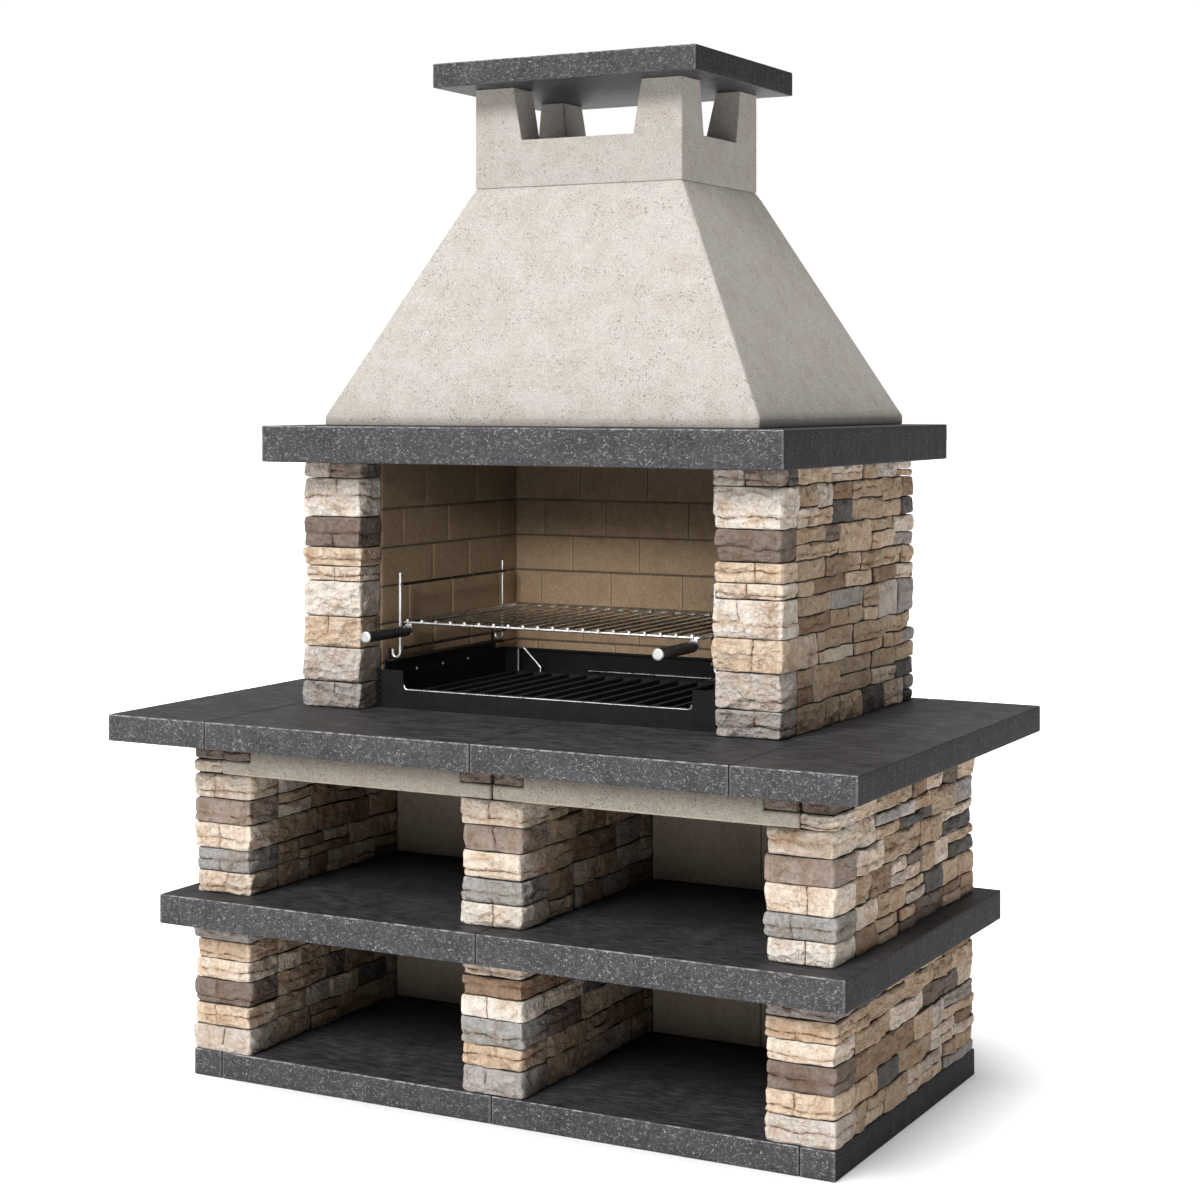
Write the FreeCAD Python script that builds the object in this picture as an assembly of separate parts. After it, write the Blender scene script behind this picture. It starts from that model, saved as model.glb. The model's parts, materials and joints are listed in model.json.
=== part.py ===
"""Stone garden barbecue: a coursed stone base with four storage niches, a worktop, a brick-lined
firebox with a charcoal tray and a wire grill, and a smoke hood under a capped chimney collar.

Millimetres. X runs along the front, Y from front to back, Z up. Pieces are laid out with Y = 0 at the
plinth's front face, and are moved at export so that the origin is under the middle of the whole.
"""

import FreeCAD, Part

import math
import os

# Base: a plinth, three walls in two tiers, a shelf between the tiers and a worktop on top
BASE_WIDTH = 1380.0
BASE_DEPTH = 730.0
BASE_WALL_THICK = 136.0
BASE_CORNER_DEPTH = 102.0
BACK_BLOCK_THICK = 200.0
BACK_BLOCK_ROWS = 2
BACK_BLOCKS_PER_ROW = 2
PLINTH_THICK = 52.0
SHELF_THICK = 58.0
SHELF_SIDE_OVERHANG = 42.0
SHELF_FRONT_OVERHANG = 58.0
SHELF_BACK_OVERHANG = 38.0
WORKTOP_THICK = 52.0
WORKTOP_SIDE_OVERHANG = 100.0
WORKTOP_FRONT_OVERHANG = 145.0
WORKTOP_BACK_OVERHANG = 113.0
WORKTOP_JOINT_OFFSET = 40.0
LOWER_COURSES = (51.0, 43.0, 49.0, 40.0, 38.0, 35.0)
UPPER_COURSES = (44.0, 45.0, 51.0, 49.0, 49.0)
LINTEL_HEIGHT = 74.0
LINTEL_TONGUE_HEIGHT = 28.0
LINTEL_JOINT = 5.0

# Firebox: two stone walls and a back panel, lined with fire brick
FIREBOX_WIDTH = 1054.0
FIREBOX_SETBACK = 142.0
FIREBOX_BACK_LEDGE = 16.0
FIREBOX_WALL_THICK = 139.0
FIREBOX_CORNER_DEPTH = 80.0
FIREBOX_COURSES = (52.0, 69.0, 62.0, 71.0, 30.0, 38.0, 61.0, 78.0, 33.0)
FIREBOX_BACK_PANEL = 31.0
BRICK_THICK = 30.0
BRICK_COURSES = (84.0, 79.0, 76.0, 78.0, 79.0, 98.0)
SIDE_BRICKS_PER_ROW = 2.5
BACK_BRICKS_PER_ROW = 3.5

# Stone dressing
STONE_PITCH = 6.0
MOST_PITCH_SHARE = 0.2
BRICK_ARRIS = 2.0
BLOCK_ARRIS = 3.0
SLAB_ARRIS = 4.0
STONE_SETBACKS = (0.0, 3.0, 1.0, 4.0, 2.0)
BOND = (
    (0.22, 0.30, 0.20, 0.28),
    (0.34, 0.28, 0.20, 0.18),
    (0.16, 0.30, 0.26, 0.28),
    (0.27, 0.28, 0.30, 0.15),
    (0.12, 0.28, 0.24, 0.36),
)
LEDGE_EVERY = 8
LEDGE_SHARE = 0.45

# Mantel, hood and chimney
MANTEL_THICK = 72.0
MANTEL_SIDE_OVERHANG = 41.0
MANTEL_FRONT_OVERHANG = 84.0
MANTEL_BACK_OVERHANG = 83.0
FLUE_WIDTH = 700.0
FLUE_DEPTH = 500.0
HOOD_SIDE_INSET = 89.0
HOOD_FRONT_INSET = 93.0
HOOD_BACK_INSET = 26.0
HOOD_SKIRT = 18.0
HOOD_SLOPE_HEIGHT = 462.0
HOOD_WALL = 50.0
COLLAR_SIDE_INSET = 245.5
COLLAR_FRONT_INSET = 181.0
COLLAR_BACK_INSET = 200.0
COLLAR_SILL = 95.0
COLLAR_OPENING = 107.0
COLLAR_WALL = 78.0
POST_WIDTH_FOOT = 107.0
POST_WIDTH_HEAD = 89.0
POST_DEPTH_FOOT = 99.0
POST_DEPTH_HEAD = 82.0
BACK_POST_TRIM = 34.0
CAP_THICK = 49.0
CAP_SIDE_OVERHANG = 62.0
CAP_FRONT_OVERHANG = 67.0
CAP_BACK_OVERHANG = 46.0

# Charcoal tray, folded from sheet, with an angle rail on each side that carries a rack
TRAY_SIDE_GAP = 17.0
TRAY_SETBACK = 54.0
TRAY_DEPTH = 490.0
TRAY_HEIGHT = 76.0
TRAY_LIP = 38.0
TRAY_SHEET = 3.0
TRAY_TAB = 50.0
ROLL_RADIUS = 3.5
RAIL_LEG = 40.0
RAIL_RISE = 20.0
RAIL_FLANGE = 22.0
RAIL_SHEET = 3.0
RAIL_TAIL = 14.0
RAIL_PIN_DIA = 6.0
RAIL_PIN_HEIGHT = 22.0
GUARD_GAP = 2.0
GUARD_HOLE_DIA = 5.0
GUARD_HOLES = 5
BOLT_NECK = 5.0
BOLT_HEAD_DIA = 9.0
BOLT_HEAD_HEIGHT = 3.0
BOLTS_PER_RAIL = 3
BOLT_CLEARANCE = 0.2

# Charcoal grate: cast bars on short legs, with a wire bail to lift it by
GRATE_SIDE_GAP = 4.7
GRATE_END_GAP = 22.0
GRATE_LEG_HEIGHT = 14.0
GRATE_LEG_DIA = 12.0
GRATE_BAR_HEIGHT = 12.0
GRATE_BAR_TOP = 12.0
GRATE_BAR_FOOT = 7.0
GRATE_END_BAR = 14.0
GRATE_BARS = 16
BAIL_DIA = 5.0
BAIL_HEIGHT = 50.0
BAIL_SPAN = 56.0

# Wire racks and the cooking grill. Round bars are drawn with a few flat sides, and bends with a few chords.
WIRE_SIDES = 6
GRIP_SIDES = 16
BEND_CHORDS = 3
RACK_POST_DIA = 7.0
RACK_RAIL_DIA = 6.0
RACK_TOP = 270.0
RACK_LOWER_RAIL = 119.0
RACK_GRILL_RAIL = 166.0
RACK_UPPER_RAIL = 247.0
RACK_SPAN = 405.0
RACK_SETBACK = 19.0
RACK_STAGGER = 42.0
RACK_CURL_RADIUS = 8.5
RACK_CURL_FLAT = 1.0
RACK_CURL_TIP = 8.0
WELD_BITE = 0.6
RACK_CLEARANCE = 0.3
GRILL_CLEARANCE = 0.7
GRILL_SEAT_GAP = 0.2
GRILL_DEPTH = 425.0
GRILL_FRAME_DIA = 6.0
GRILL_BAR_DIA = 5.0
GRILL_BARS = 20
GRILL_BAR_NIB = 4.0
GRILL_CORNER_RADIUS = 14.0
GRILL_LEAD = 6.0
HANDLE_INSET = 12.0
HANDLE_DROP = 16.0
HANDLE_DIA = 22.0
HANDLE_LENGTH = 148.0
HANDLE_CAP_LENGTH = 6.0
HANDLE_CAP_DIA = 23.0
HANDLE_ROD_DIA = 8.0
HANDLE_ROD_CLEARANCE = 0.2
HANDLE_TAB_THICK = 4.0
HANDLE_TAB_HEIGHT = 22.0
HANDLE_NUT_DIA = 15.0
HANDLE_NUT_LENGTH = 6.0
HANDLE_CAP_EASE = 1.5

# A bar's half width over its flats, as a share of its radius over its corners
FLAT = math.cos(math.pi / WIRE_SIDES)

# Levels, from the ground up
LOWER_BOTTOM = PLINTH_THICK
SHELF_BOTTOM = LOWER_BOTTOM + sum(LOWER_COURSES)
UPPER_BOTTOM = SHELF_BOTTOM + SHELF_THICK
LINTEL_BOTTOM = UPPER_BOTTOM + sum(UPPER_COURSES)
WORKTOP_BOTTOM = LINTEL_BOTTOM + LINTEL_HEIGHT
FIREBOX_BOTTOM = WORKTOP_BOTTOM + WORKTOP_THICK
MANTEL_BOTTOM = FIREBOX_BOTTOM + sum(FIREBOX_COURSES)
HOOD_BOTTOM = MANTEL_BOTTOM + MANTEL_THICK
COLLAR_BOTTOM = HOOD_BOTTOM + HOOD_SKIRT + HOOD_SLOPE_HEIGHT
CAP_BOTTOM = COLLAR_BOTTOM + COLLAR_SILL + COLLAR_OPENING

# Places that several pieces share
BASE_HALF = BASE_WIDTH / 2
NICHE_OUTER = BASE_HALF - BASE_WALL_THICK
NICHE_INNER = BASE_WALL_THICK / 2
BACK_BLOCK_FRONT = BASE_DEPTH - BACK_BLOCK_THICK
FIREBOX_HALF = FIREBOX_WIDTH / 2
FIREBOX_BACK = BASE_DEPTH + WORKTOP_BACK_OVERHANG - FIREBOX_BACK_LEDGE
CHAMBER_HALF = FIREBOX_HALF - FIREBOX_WALL_THICK
LINING_FRONT = FIREBOX_SETBACK + FIREBOX_CORNER_DEPTH
PANEL_FRONT = FIREBOX_BACK - FIREBOX_BACK_PANEL
CHAMBER_BACK = PANEL_FRONT - BRICK_THICK
LEAF_INNER = CHAMBER_HALF + BRICK_THICK
MANTEL_HALF = FIREBOX_HALF + MANTEL_SIDE_OVERHANG
MANTEL_FRONT = FIREBOX_SETBACK - MANTEL_FRONT_OVERHANG
MANTEL_BACK = FIREBOX_BACK + MANTEL_BACK_OVERHANG
HOOD_HALF = MANTEL_HALF - HOOD_SIDE_INSET
HOOD_FRONT = MANTEL_FRONT + HOOD_FRONT_INSET
HOOD_BACK = MANTEL_BACK - HOOD_BACK_INSET
COLLAR_HALF = HOOD_HALF - COLLAR_SIDE_INSET
COLLAR_FRONT = HOOD_FRONT + COLLAR_FRONT_INSET
COLLAR_BACK = HOOD_BACK - COLLAR_BACK_INSET
COLLAR_DEPTH = COLLAR_BACK - COLLAR_FRONT
TRAY_HALF = CHAMBER_HALF - TRAY_SIDE_GAP
TRAY_FRONT = FIREBOX_SETBACK + TRAY_SETBACK
TRAY_BACK = TRAY_FRONT + TRAY_DEPTH
TRAY_TOP = FIREBOX_BOTTOM + TRAY_HEIGHT
RAIL_TOP = TRAY_TOP + RAIL_RISE
RAIL_OUTER = TRAY_HALF - TRAY_SHEET
RAIL_INNER = RAIL_OUTER - RAIL_FLANGE
CURL_OUTER = RAIL_OUTER - RAIL_PIN_DIA - RACK_CLEARANCE - RACK_POST_DIA / 2
RACK_POST_X = CURL_OUTER - 2 * RACK_CURL_RADIUS - RACK_CURL_FLAT
RACK_FRONT = TRAY_FRONT + RACK_SETBACK
RACK_BACK = RACK_FRONT + RACK_SPAN
RACK_RAIL_X = RACK_POST_X - (FLAT * RACK_POST_DIA + RACK_RAIL_DIA) / 2 + WELD_BITE
GRILL_HALF = RACK_POST_X - RACK_POST_DIA / 2 - GRILL_CLEARANCE
GRILL_FRONT = RACK_FRONT - GRILL_LEAD
GRILL_Z = (
    FIREBOX_BOTTOM
    + RACK_GRILL_RAIL
    + FLAT * (RACK_RAIL_DIA + GRILL_FRAME_DIA) / 2
    + GRILL_SEAT_GAP
)
HANDLE_X = GRILL_HALF - GRILL_FRAME_DIA - HANDLE_INSET
HANDLE_Z = GRILL_Z - HANDLE_DROP
HANDLE_TAB_FRONT = GRILL_FRONT + (GRILL_FRAME_DIA - HANDLE_TAB_THICK) / 2
HANDLE_BORE_DIA = HANDLE_ROD_DIA + 2 * HANDLE_ROD_CLEARANCE
GRATE_BOTTOM = FIREBOX_BOTTOM + TRAY_SHEET
GRATE_HALF = RACK_POST_X - RACK_POST_DIA / 2 - GRATE_SIDE_GAP
GRATE_FRONT = TRAY_FRONT + TRAY_SHEET + GRATE_END_GAP
GRATE_BACK = TRAY_BACK - TRAY_SHEET - GRATE_END_GAP
GRATE_BAR_BOTTOM = GRATE_BOTTOM + GRATE_LEG_HEIGHT
GRATE_TOP = GRATE_BAR_BOTTOM + GRATE_BAR_HEIGHT
ORIGIN_Y = (max(MANTEL_BACK, BASE_DEPTH + WORKTOP_BACK_OVERHANG) - WORKTOP_FRONT_OVERHANG) / 2

X_AXIS = FreeCAD.Vector(1, 0, 0)
Y_AXIS = FreeCAD.Vector(0, 1, 0)
Z_AXIS = FreeCAD.Vector(0, 0, 1)
SIDES = {"left": -1, "right": 1}


def block(x_range, y_range, z_range):
    """A plain box between two corners."""
    size = [high - low for low, high in (x_range, y_range, z_range)]
    return Part.makeBox(*size, FreeCAD.Vector(x_range[0], y_range[0], z_range[0]))


def mirrored(x_low, x_high, side):
    """An X range given for the right side, on the side asked for."""
    return (x_low, x_high) if side > 0 else (-x_high, -x_low)


def polygon(centre, normal, corner, diameter, sides=WIRE_SIDES):
    """A closed wire of equal sides about a centre, with its first corner in a given direction."""
    across = normal.cross(corner)
    points = []
    for side in range(sides):
        turn = 2 * math.pi * side / sides
        points.append(centre + (corner * math.cos(turn) + across * math.sin(turn)) * (diameter / 2))
    return Part.makePolygon([*points, points[0]])


def bar(diameter, length, start, direction, corner, sides=WIRE_SIDES):
    """A straight bar with flat sides, measured over its corners."""
    section = polygon(FreeCAD.Vector(*start), direction, corner, diameter, sides)
    return Part.Face(section).extrude(direction * length)


def flush_edges(shape, planes):
    """Edges of a box that lie in any of the planes, each given as an axis name and a value."""
    found = []
    for edge in shape.Edges:
        middle = edge.CenterOfMass
        if any(abs(getattr(middle, axis) - value) < 1e-6 for axis, value in planes):
            found.append(edge)
    return found


def dressed(shape, arris, planes):
    """A box with the edges of its exposed faces pitched back, limited by its least side."""
    bounds = shape.BoundBox
    cut = min(arris, MOST_PITCH_SHARE * min(bounds.XLength, bounds.YLength, bounds.ZLength))
    return shape.makeChamfer(cut, flush_edges(shape, planes))


def stone(x_range, y_range, z_range, open_faces, setback):
    """One building stone, set back from the wall's plane and pitched along every open face."""
    low = [x_range[0], y_range[0]]
    high = [x_range[1], y_range[1]]
    planes = []
    for face in open_faces:
        axis = "xy".index(face[1])
        if face[0] == "-":
            low[axis] += setback
            planes.append((face[1], low[axis]))
        else:
            high[axis] -= setback
            planes.append((face[1], high[axis]))
    body = block((low[0], high[0]), (low[1], high[1]), z_range)
    return dressed(body, STONE_PITCH, planes)


def levels(bottom, courses):
    """The lower and upper height of each course."""
    found = []
    for height in courses:
        found.append((bottom, bottom + height))
        bottom += height
    return found


def setback_of(number):
    """How far a stone lies behind the wall's plane, by its running number."""
    return STONE_SETBACKS[number % len(STONE_SETBACKS)]


def pier(x_range, front, depth, courses, open_faces, seed):
    """The stack of corner stones at the front end of a wall, one to a course."""
    return [
        stone(x_range, (front, front + depth), heights, open_faces, setback_of(seed + 2 * row))
        for row, heights in enumerate(courses)
    ]


def coursed_wall(x_range, y_range, courses, open_faces, seed):
    """Stones of uneven length behind the corner stones. Every few stones, one is laid as two thin ledges."""
    stones = []
    length = y_range[1] - y_range[0]
    for row, (bottom, top) in enumerate(courses):
        shares = BOND[(row + seed) % len(BOND)]
        start = y_range[0]
        for place, share in enumerate(shares):
            last = place == len(shares) - 1
            end = y_range[1] if last else start + share * length
            number = seed + row * len(shares) + place
            beds = [(bottom, top)]
            if number % LEDGE_EVERY == 0:
                ledge = bottom + LEDGE_SHARE * (top - bottom)
                beds = [(bottom, ledge), (ledge, top)]
            faces = open_faces + (("+y",) if last else ())
            for layer, bed in enumerate(beds):
                stones.append(stone(x_range, (start, end), bed, faces, setback_of(number + 3 * layer)))
            start = end
    return stones


def slab(x_range, y_range, z_range):
    """A sawn stone slab with every arris eased."""
    body = block(x_range, y_range, z_range)
    return body.makeChamfer(SLAB_ARRIS, body.Edges)


def split_slab(name, half_width, y_range, z_range, joints):
    """Slabs laid side by side along X, with joints at the given places."""
    edges = [-half_width, *joints, half_width]
    names = {3: ("left_slab", "right_slab"), 5: ("left_end", "left_slab", "right_slab", "right_end")}
    return {
        f"{name}_{part}": [slab((edges[i], edges[i + 1]), y_range, z_range)]
        for i, part in enumerate(names[len(edges)])
    }


def base_slabs():
    """Plinth, shelf and worktop. The plinth's end joints lie under the middle of the outer walls."""
    wall_middle = BASE_HALF - BASE_WALL_THICK / 2
    plinth = split_slab(
        "plinth",
        BASE_HALF,
        (0, BASE_DEPTH),
        (0, PLINTH_THICK),
        (-wall_middle, 0, wall_middle),
    )
    shelf = split_slab(
        "shelf",
        BASE_HALF + SHELF_SIDE_OVERHANG,
        (-SHELF_FRONT_OVERHANG, BASE_DEPTH + SHELF_BACK_OVERHANG),
        (SHELF_BOTTOM, UPPER_BOTTOM),
        (0,),
    )
    worktop = split_slab(
        "worktop",
        BASE_HALF + WORKTOP_SIDE_OVERHANG,
        (-WORKTOP_FRONT_OVERHANG, BASE_DEPTH + WORKTOP_BACK_OVERHANG),
        (WORKTOP_BOTTOM, FIREBOX_BOTTOM),
        (-NICHE_OUTER, WORKTOP_JOINT_OFFSET, NICHE_OUTER),
    )
    return {**plinth, **shelf, **worktop}


def base_walls():
    """Left, centre and right walls of both tiers: a pier of corner stones and the wall behind it."""
    places = {
        "left": (-BASE_HALF, -NICHE_OUTER),
        "centre": (-NICHE_INNER, NICHE_INNER),
        "right": (NICHE_OUTER, BASE_HALF),
    }
    faces = ("-x", "+x")
    made = {}
    for seed, (place, x_range) in enumerate(places.items()):
        lower = levels(LOWER_BOTTOM, LOWER_COURSES)
        upper = levels(UPPER_BOTTOM, UPPER_COURSES)
        upper_wall = upper + [(LINTEL_BOTTOM, WORKTOP_BOTTOM)]
        behind = (BASE_CORNER_DEPTH, BASE_DEPTH)
        made[f"lower_{place}_pier"] = pier(x_range, 0, BASE_CORNER_DEPTH, lower, ("-y", *faces), seed)
        made[f"lower_{place}_wall"] = coursed_wall(x_range, behind, lower, faces, 2 * seed + 1)
        made[f"upper_{place}_pier"] = pier(x_range, 0, BASE_CORNER_DEPTH, upper, ("-y", *faces), seed + 1)
        made[f"upper_{place}_pier"] += lintel_seats(x_range, place)
        made[f"upper_{place}_wall"] = coursed_wall(x_range, behind, upper_wall, faces, 2 * seed + 3)
    return made


def lintel_seats(x_range, place):
    """The small stones that close the top of a pier round the tongues of the lintels."""
    middle = sum(x_range) / 2
    depth = (0, BASE_CORNER_DEPTH)
    tongue_top = LINTEL_BOTTOM + LINTEL_TONGUE_HEIGHT
    halves = {"left": (x_range[0], middle), "right": (middle, x_range[1])}
    stones = []
    for number, (half, span) in enumerate(halves.items()):
        outer = "-x" if half == "left" else "+x"
        stones.append(stone(span, depth, (tongue_top, WORKTOP_BOTTOM), ("-y", outer), setback_of(number)))
    if place in SIDES:
        outer = "-x" if place == "left" else "+x"
        lower = (LINTEL_BOTTOM, tongue_top)
        stones.append(stone(halves[place], depth, lower, ("-y", outer), setback_of(0)))
    return stones


def lintel(side):
    """A cast beam over a niche. Its lower half runs on at both ends as a tongue that bears on the piers."""
    tongue_outer = BASE_HALF - BASE_WALL_THICK / 2
    tongue_top = LINTEL_BOTTOM + LINTEL_TONGUE_HEIGHT
    outline = [
        (LINTEL_JOINT / 2, LINTEL_BOTTOM),
        (tongue_outer, LINTEL_BOTTOM),
        (tongue_outer, tongue_top),
        (NICHE_OUTER, tongue_top),
        (NICHE_OUTER, WORKTOP_BOTTOM),
        (NICHE_INNER, WORKTOP_BOTTOM),
        (NICHE_INNER, tongue_top),
        (LINTEL_JOINT / 2, tongue_top),
    ]
    points = [FreeCAD.Vector(side * x, 0, z) for x, z in outline]
    face = Part.Face(Part.makePolygon([*points, points[0]]))
    beam = face.extrude(FreeCAD.Vector(0, BASE_CORNER_DEPTH, 0))
    return dressed(beam, BLOCK_ARRIS, [("y", 0.0)])


def bonded(spans, z_range, shares, place):
    """Rows of bricks or blocks in stretcher bond. Spans are the joints of even and odd rows, and shares give
    the rows' heights, which fill the whole range."""
    height = z_range[1] - z_range[0]
    rows = levels(z_range[0], [height * share / sum(shares) for share in shares])
    made = []
    for row, bed in enumerate(rows):
        joints = spans[row % 2]
        made += [place(start, end, bed) for start, end in zip(joints, joints[1:])]
    return made


def stretcher_joints(start, end, count):
    """Joints of two rows of bricks, the second shifted by half a brick. A half count ends in a half brick."""
    length = (end - start) / count
    whole = int(count)
    if count > whole:
        first = [start + i * length for i in range(whole + 1)] + [end]
        second = [start] + [start + (i + 0.5) * length for i in range(whole + 1)]
        return first, second
    first = [start + i * length for i in range(whole + 1)]
    second = [start] + [start + (i + 0.5) * length for i in range(whole)] + [end]
    return first, second


def back_blocks(z_range):
    """The block wall that closes both niches of a tier at the back."""
    faces = [("y", BACK_BLOCK_FRONT), ("y", BASE_DEPTH)]

    def place(start, end, bed):
        body = block((start, end), (BACK_BLOCK_FRONT, BASE_DEPTH), bed)
        return dressed(body, BLOCK_ARRIS, faces)

    made = []
    for side in SIDES.values():
        start, end = mirrored(NICHE_INNER, NICHE_OUTER, side)
        joints = stretcher_joints(start, end, BACK_BLOCKS_PER_ROW)
        made += bonded(joints, z_range, (1.0,) * BACK_BLOCK_ROWS, place)
    return made


def firebox_walls():
    """Outer stone leaves of the firebox, with their corner stones at the front."""
    courses = levels(FIREBOX_BOTTOM, FIREBOX_COURSES)
    made = {}
    for seed, (name, side) in enumerate(SIDES.items()):
        outer = "-x" if side < 0 else "+x"
        corner = mirrored(CHAMBER_HALF, FIREBOX_HALF, side)
        leaf = mirrored(LEAF_INNER, FIREBOX_HALF, side)
        made[f"firebox_{name}_pier"] = pier(
            corner, FIREBOX_SETBACK, FIREBOX_CORNER_DEPTH, courses, ("-y", "-x", "+x"), seed
        )
        made[f"firebox_{name}_wall"] = coursed_wall(
            leaf, (LINING_FRONT, FIREBOX_BACK), courses, (outer,), 3 * seed + 2
        )
    return made


def fire_bricks():
    """The brick lining of both sides and the back of the firebox."""
    z_range = (FIREBOX_BOTTOM, MANTEL_BOTTOM)
    made = {}
    for name, side in SIDES.items():
        x_range = mirrored(CHAMBER_HALF, LEAF_INNER, side)

        def side_brick(start, end, bed):
            body = block(x_range, (start, end), bed)
            return dressed(body, BRICK_ARRIS, [("x", side * CHAMBER_HALF)])

        joints = stretcher_joints(LINING_FRONT, CHAMBER_BACK, SIDE_BRICKS_PER_ROW)
        made[f"{name}_fire_bricks"] = bonded(joints, z_range, BRICK_COURSES, side_brick)

    def back_brick(start, end, bed):
        body = block((start, end), (CHAMBER_BACK, PANEL_FRONT), bed)
        return dressed(body, BRICK_ARRIS, [("y", CHAMBER_BACK)])

    joints = stretcher_joints(-LEAF_INNER, LEAF_INNER, BACK_BRICKS_PER_ROW)
    made["back_fire_bricks"] = bonded(joints, z_range, BRICK_COURSES, back_brick)
    return made


def firebox_back_panel():
    """The cast panel behind the back bricks, between the two stone leaves."""
    body = block((-LEAF_INNER, LEAF_INNER), (PANEL_FRONT, FIREBOX_BACK), (FIREBOX_BOTTOM, MANTEL_BOTTOM))
    return dressed(body, BLOCK_ARRIS, [("y", FIREBOX_BACK)])


def mantel():
    """The slab that ties the firebox walls together and carries the hood round the flue opening."""
    body = slab((-MANTEL_HALF, MANTEL_HALF), (MANTEL_FRONT, MANTEL_BACK), (MANTEL_BOTTOM, HOOD_BOTTOM))
    middle = (LINING_FRONT + CHAMBER_BACK) / 2
    flue = block(
        (-FLUE_WIDTH / 2, FLUE_WIDTH / 2),
        (middle - FLUE_DEPTH / 2, middle + FLUE_DEPTH / 2),
        (MANTEL_BOTTOM, HOOD_BOTTOM),
    )
    return body.cut(flue)


def frustum(foot, head, z_range):
    """A solid with flat sides between two rectangles, each given as half width, front and back."""
    rings = []
    for (half_width, front, back), z in zip((foot, head), z_range):
        corners = [(-half_width, front), (half_width, front), (half_width, back), (-half_width, back)]
        rings.append([FreeCAD.Vector(x, y, z) for x, y in corners])
    low, high = rings
    outlines = [low, high]
    for here in range(4):
        after = (here + 1) % 4
        outlines.append([low[here], low[after], high[after], high[here]])
    faces = [Part.Face(Part.makePolygon([*outline, outline[0]])) for outline in outlines]
    return Part.Solid(Part.makeShell(faces))


def tapered_shell(inset):
    """The hood's outline drawn in by an inset: an upright skirt with a four-sided slope above it."""
    half = HOOD_HALF - inset
    front = HOOD_FRONT + inset
    back = HOOD_BACK - inset
    slope_bottom = HOOD_BOTTOM + HOOD_SKIRT
    skirt = block((-half, half), (front, back), (HOOD_BOTTOM, slope_bottom))
    head = (COLLAR_HALF - inset, COLLAR_FRONT + inset, COLLAR_BACK - inset)
    slope = frustum((half, front, back), head, (slope_bottom, COLLAR_BOTTOM))
    return skirt.fuse(slope)


def hood():
    """A hollow cast hood that gathers the smoke from the flue opening into the collar."""
    return tapered_shell(0.0).cut(tapered_shell(HOOD_WALL))


def outlet(foot_half, head_half, length, along, middle):
    """A trapezium cutter for the collar's outlets, wider at the head, through the collar along one axis."""
    sill = COLLAR_BOTTOM + COLLAR_SILL
    outline = [(-foot_half, sill), (foot_half, sill), (head_half, CAP_BOTTOM), (-head_half, CAP_BOTTOM)]
    if along is Y_AXIS:
        points = [FreeCAD.Vector(a, middle - length / 2, z) for a, z in outline]
    else:
        points = [FreeCAD.Vector(-length / 2, middle + a, z) for a, z in outline]
    return Part.Face(Part.makePolygon([*points, points[0]])).extrude(along * length)


def collar():
    """A square collar on the hood whose four corner posts carry the cap, with an outlet on each side. The back
    outlet is wider than the front one."""
    middle = COLLAR_FRONT + COLLAR_DEPTH / 2
    heights = (COLLAR_BOTTOM, CAP_BOTTOM)
    body = block((-COLLAR_HALF, COLLAR_HALF), (COLLAR_FRONT, COLLAR_BACK), heights)
    inside = COLLAR_HALF - COLLAR_WALL
    bore = block((-inside, inside), (COLLAR_FRONT + COLLAR_WALL, COLLAR_BACK - COLLAR_WALL), heights)
    foot_half = COLLAR_HALF - POST_WIDTH_FOOT
    head_half = COLLAR_HALF - POST_WIDTH_HEAD
    half_depth = COLLAR_DEPTH / 2
    front = outlet(foot_half, head_half, half_depth, Y_AXIS, middle - half_depth / 2)
    back = outlet(
        foot_half + BACK_POST_TRIM, head_half + BACK_POST_TRIM, half_depth, Y_AXIS, middle + half_depth / 2
    )
    left_right = outlet(
        half_depth - POST_DEPTH_FOOT, half_depth - POST_DEPTH_HEAD, 2 * COLLAR_HALF, X_AXIS, middle
    )
    return body.cut([bore, front, back, left_right])


def cap():
    """The slab that keeps rain out of the collar."""
    half = COLLAR_HALF + CAP_SIDE_OVERHANG
    y_range = (COLLAR_FRONT - CAP_FRONT_OVERHANG, COLLAR_BACK + CAP_BACK_OVERHANG)
    return slab((-half, half), y_range, (CAP_BOTTOM, CAP_BOTTOM + CAP_THICK))


def charcoal_tray():
    """A folded sheet tray. Its front is cut down between two tabs, and the cut edges are rolled."""
    inside = TRAY_HALF - TRAY_SHEET
    body = block((-TRAY_HALF, TRAY_HALF), (TRAY_FRONT, TRAY_BACK), (FIREBOX_BOTTOM, TRAY_TOP))
    hollow = block(
        (-inside, inside),
        (TRAY_FRONT + TRAY_SHEET, TRAY_BACK - TRAY_SHEET),
        (FIREBOX_BOTTOM + TRAY_SHEET, TRAY_TOP),
    )
    notch_half = TRAY_HALF - TRAY_TAB
    lip = FIREBOX_BOTTOM + TRAY_LIP
    notch = block((-notch_half, notch_half), (TRAY_FRONT, TRAY_FRONT + TRAY_SHEET), (lip, TRAY_TOP))
    front_roll = bar(
        2 * ROLL_RADIUS, 2 * notch_half, (-notch_half, TRAY_FRONT + ROLL_RADIUS, lip), X_AXIS, Y_AXIS
    )
    back_start = (-inside, TRAY_BACK - ROLL_RADIUS, TRAY_TOP - ROLL_RADIUS)
    back_roll = bar(2 * ROLL_RADIUS, 2 * inside, back_start, X_AXIS, Y_AXIS)
    holes = [bolt_neck(side, y, z, BOLT_CLEARANCE) for side in SIDES.values() for y, z in bolt_places()]
    return body.cut([hollow, notch]).fuse([front_roll, back_roll]).cut(holes)


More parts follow.
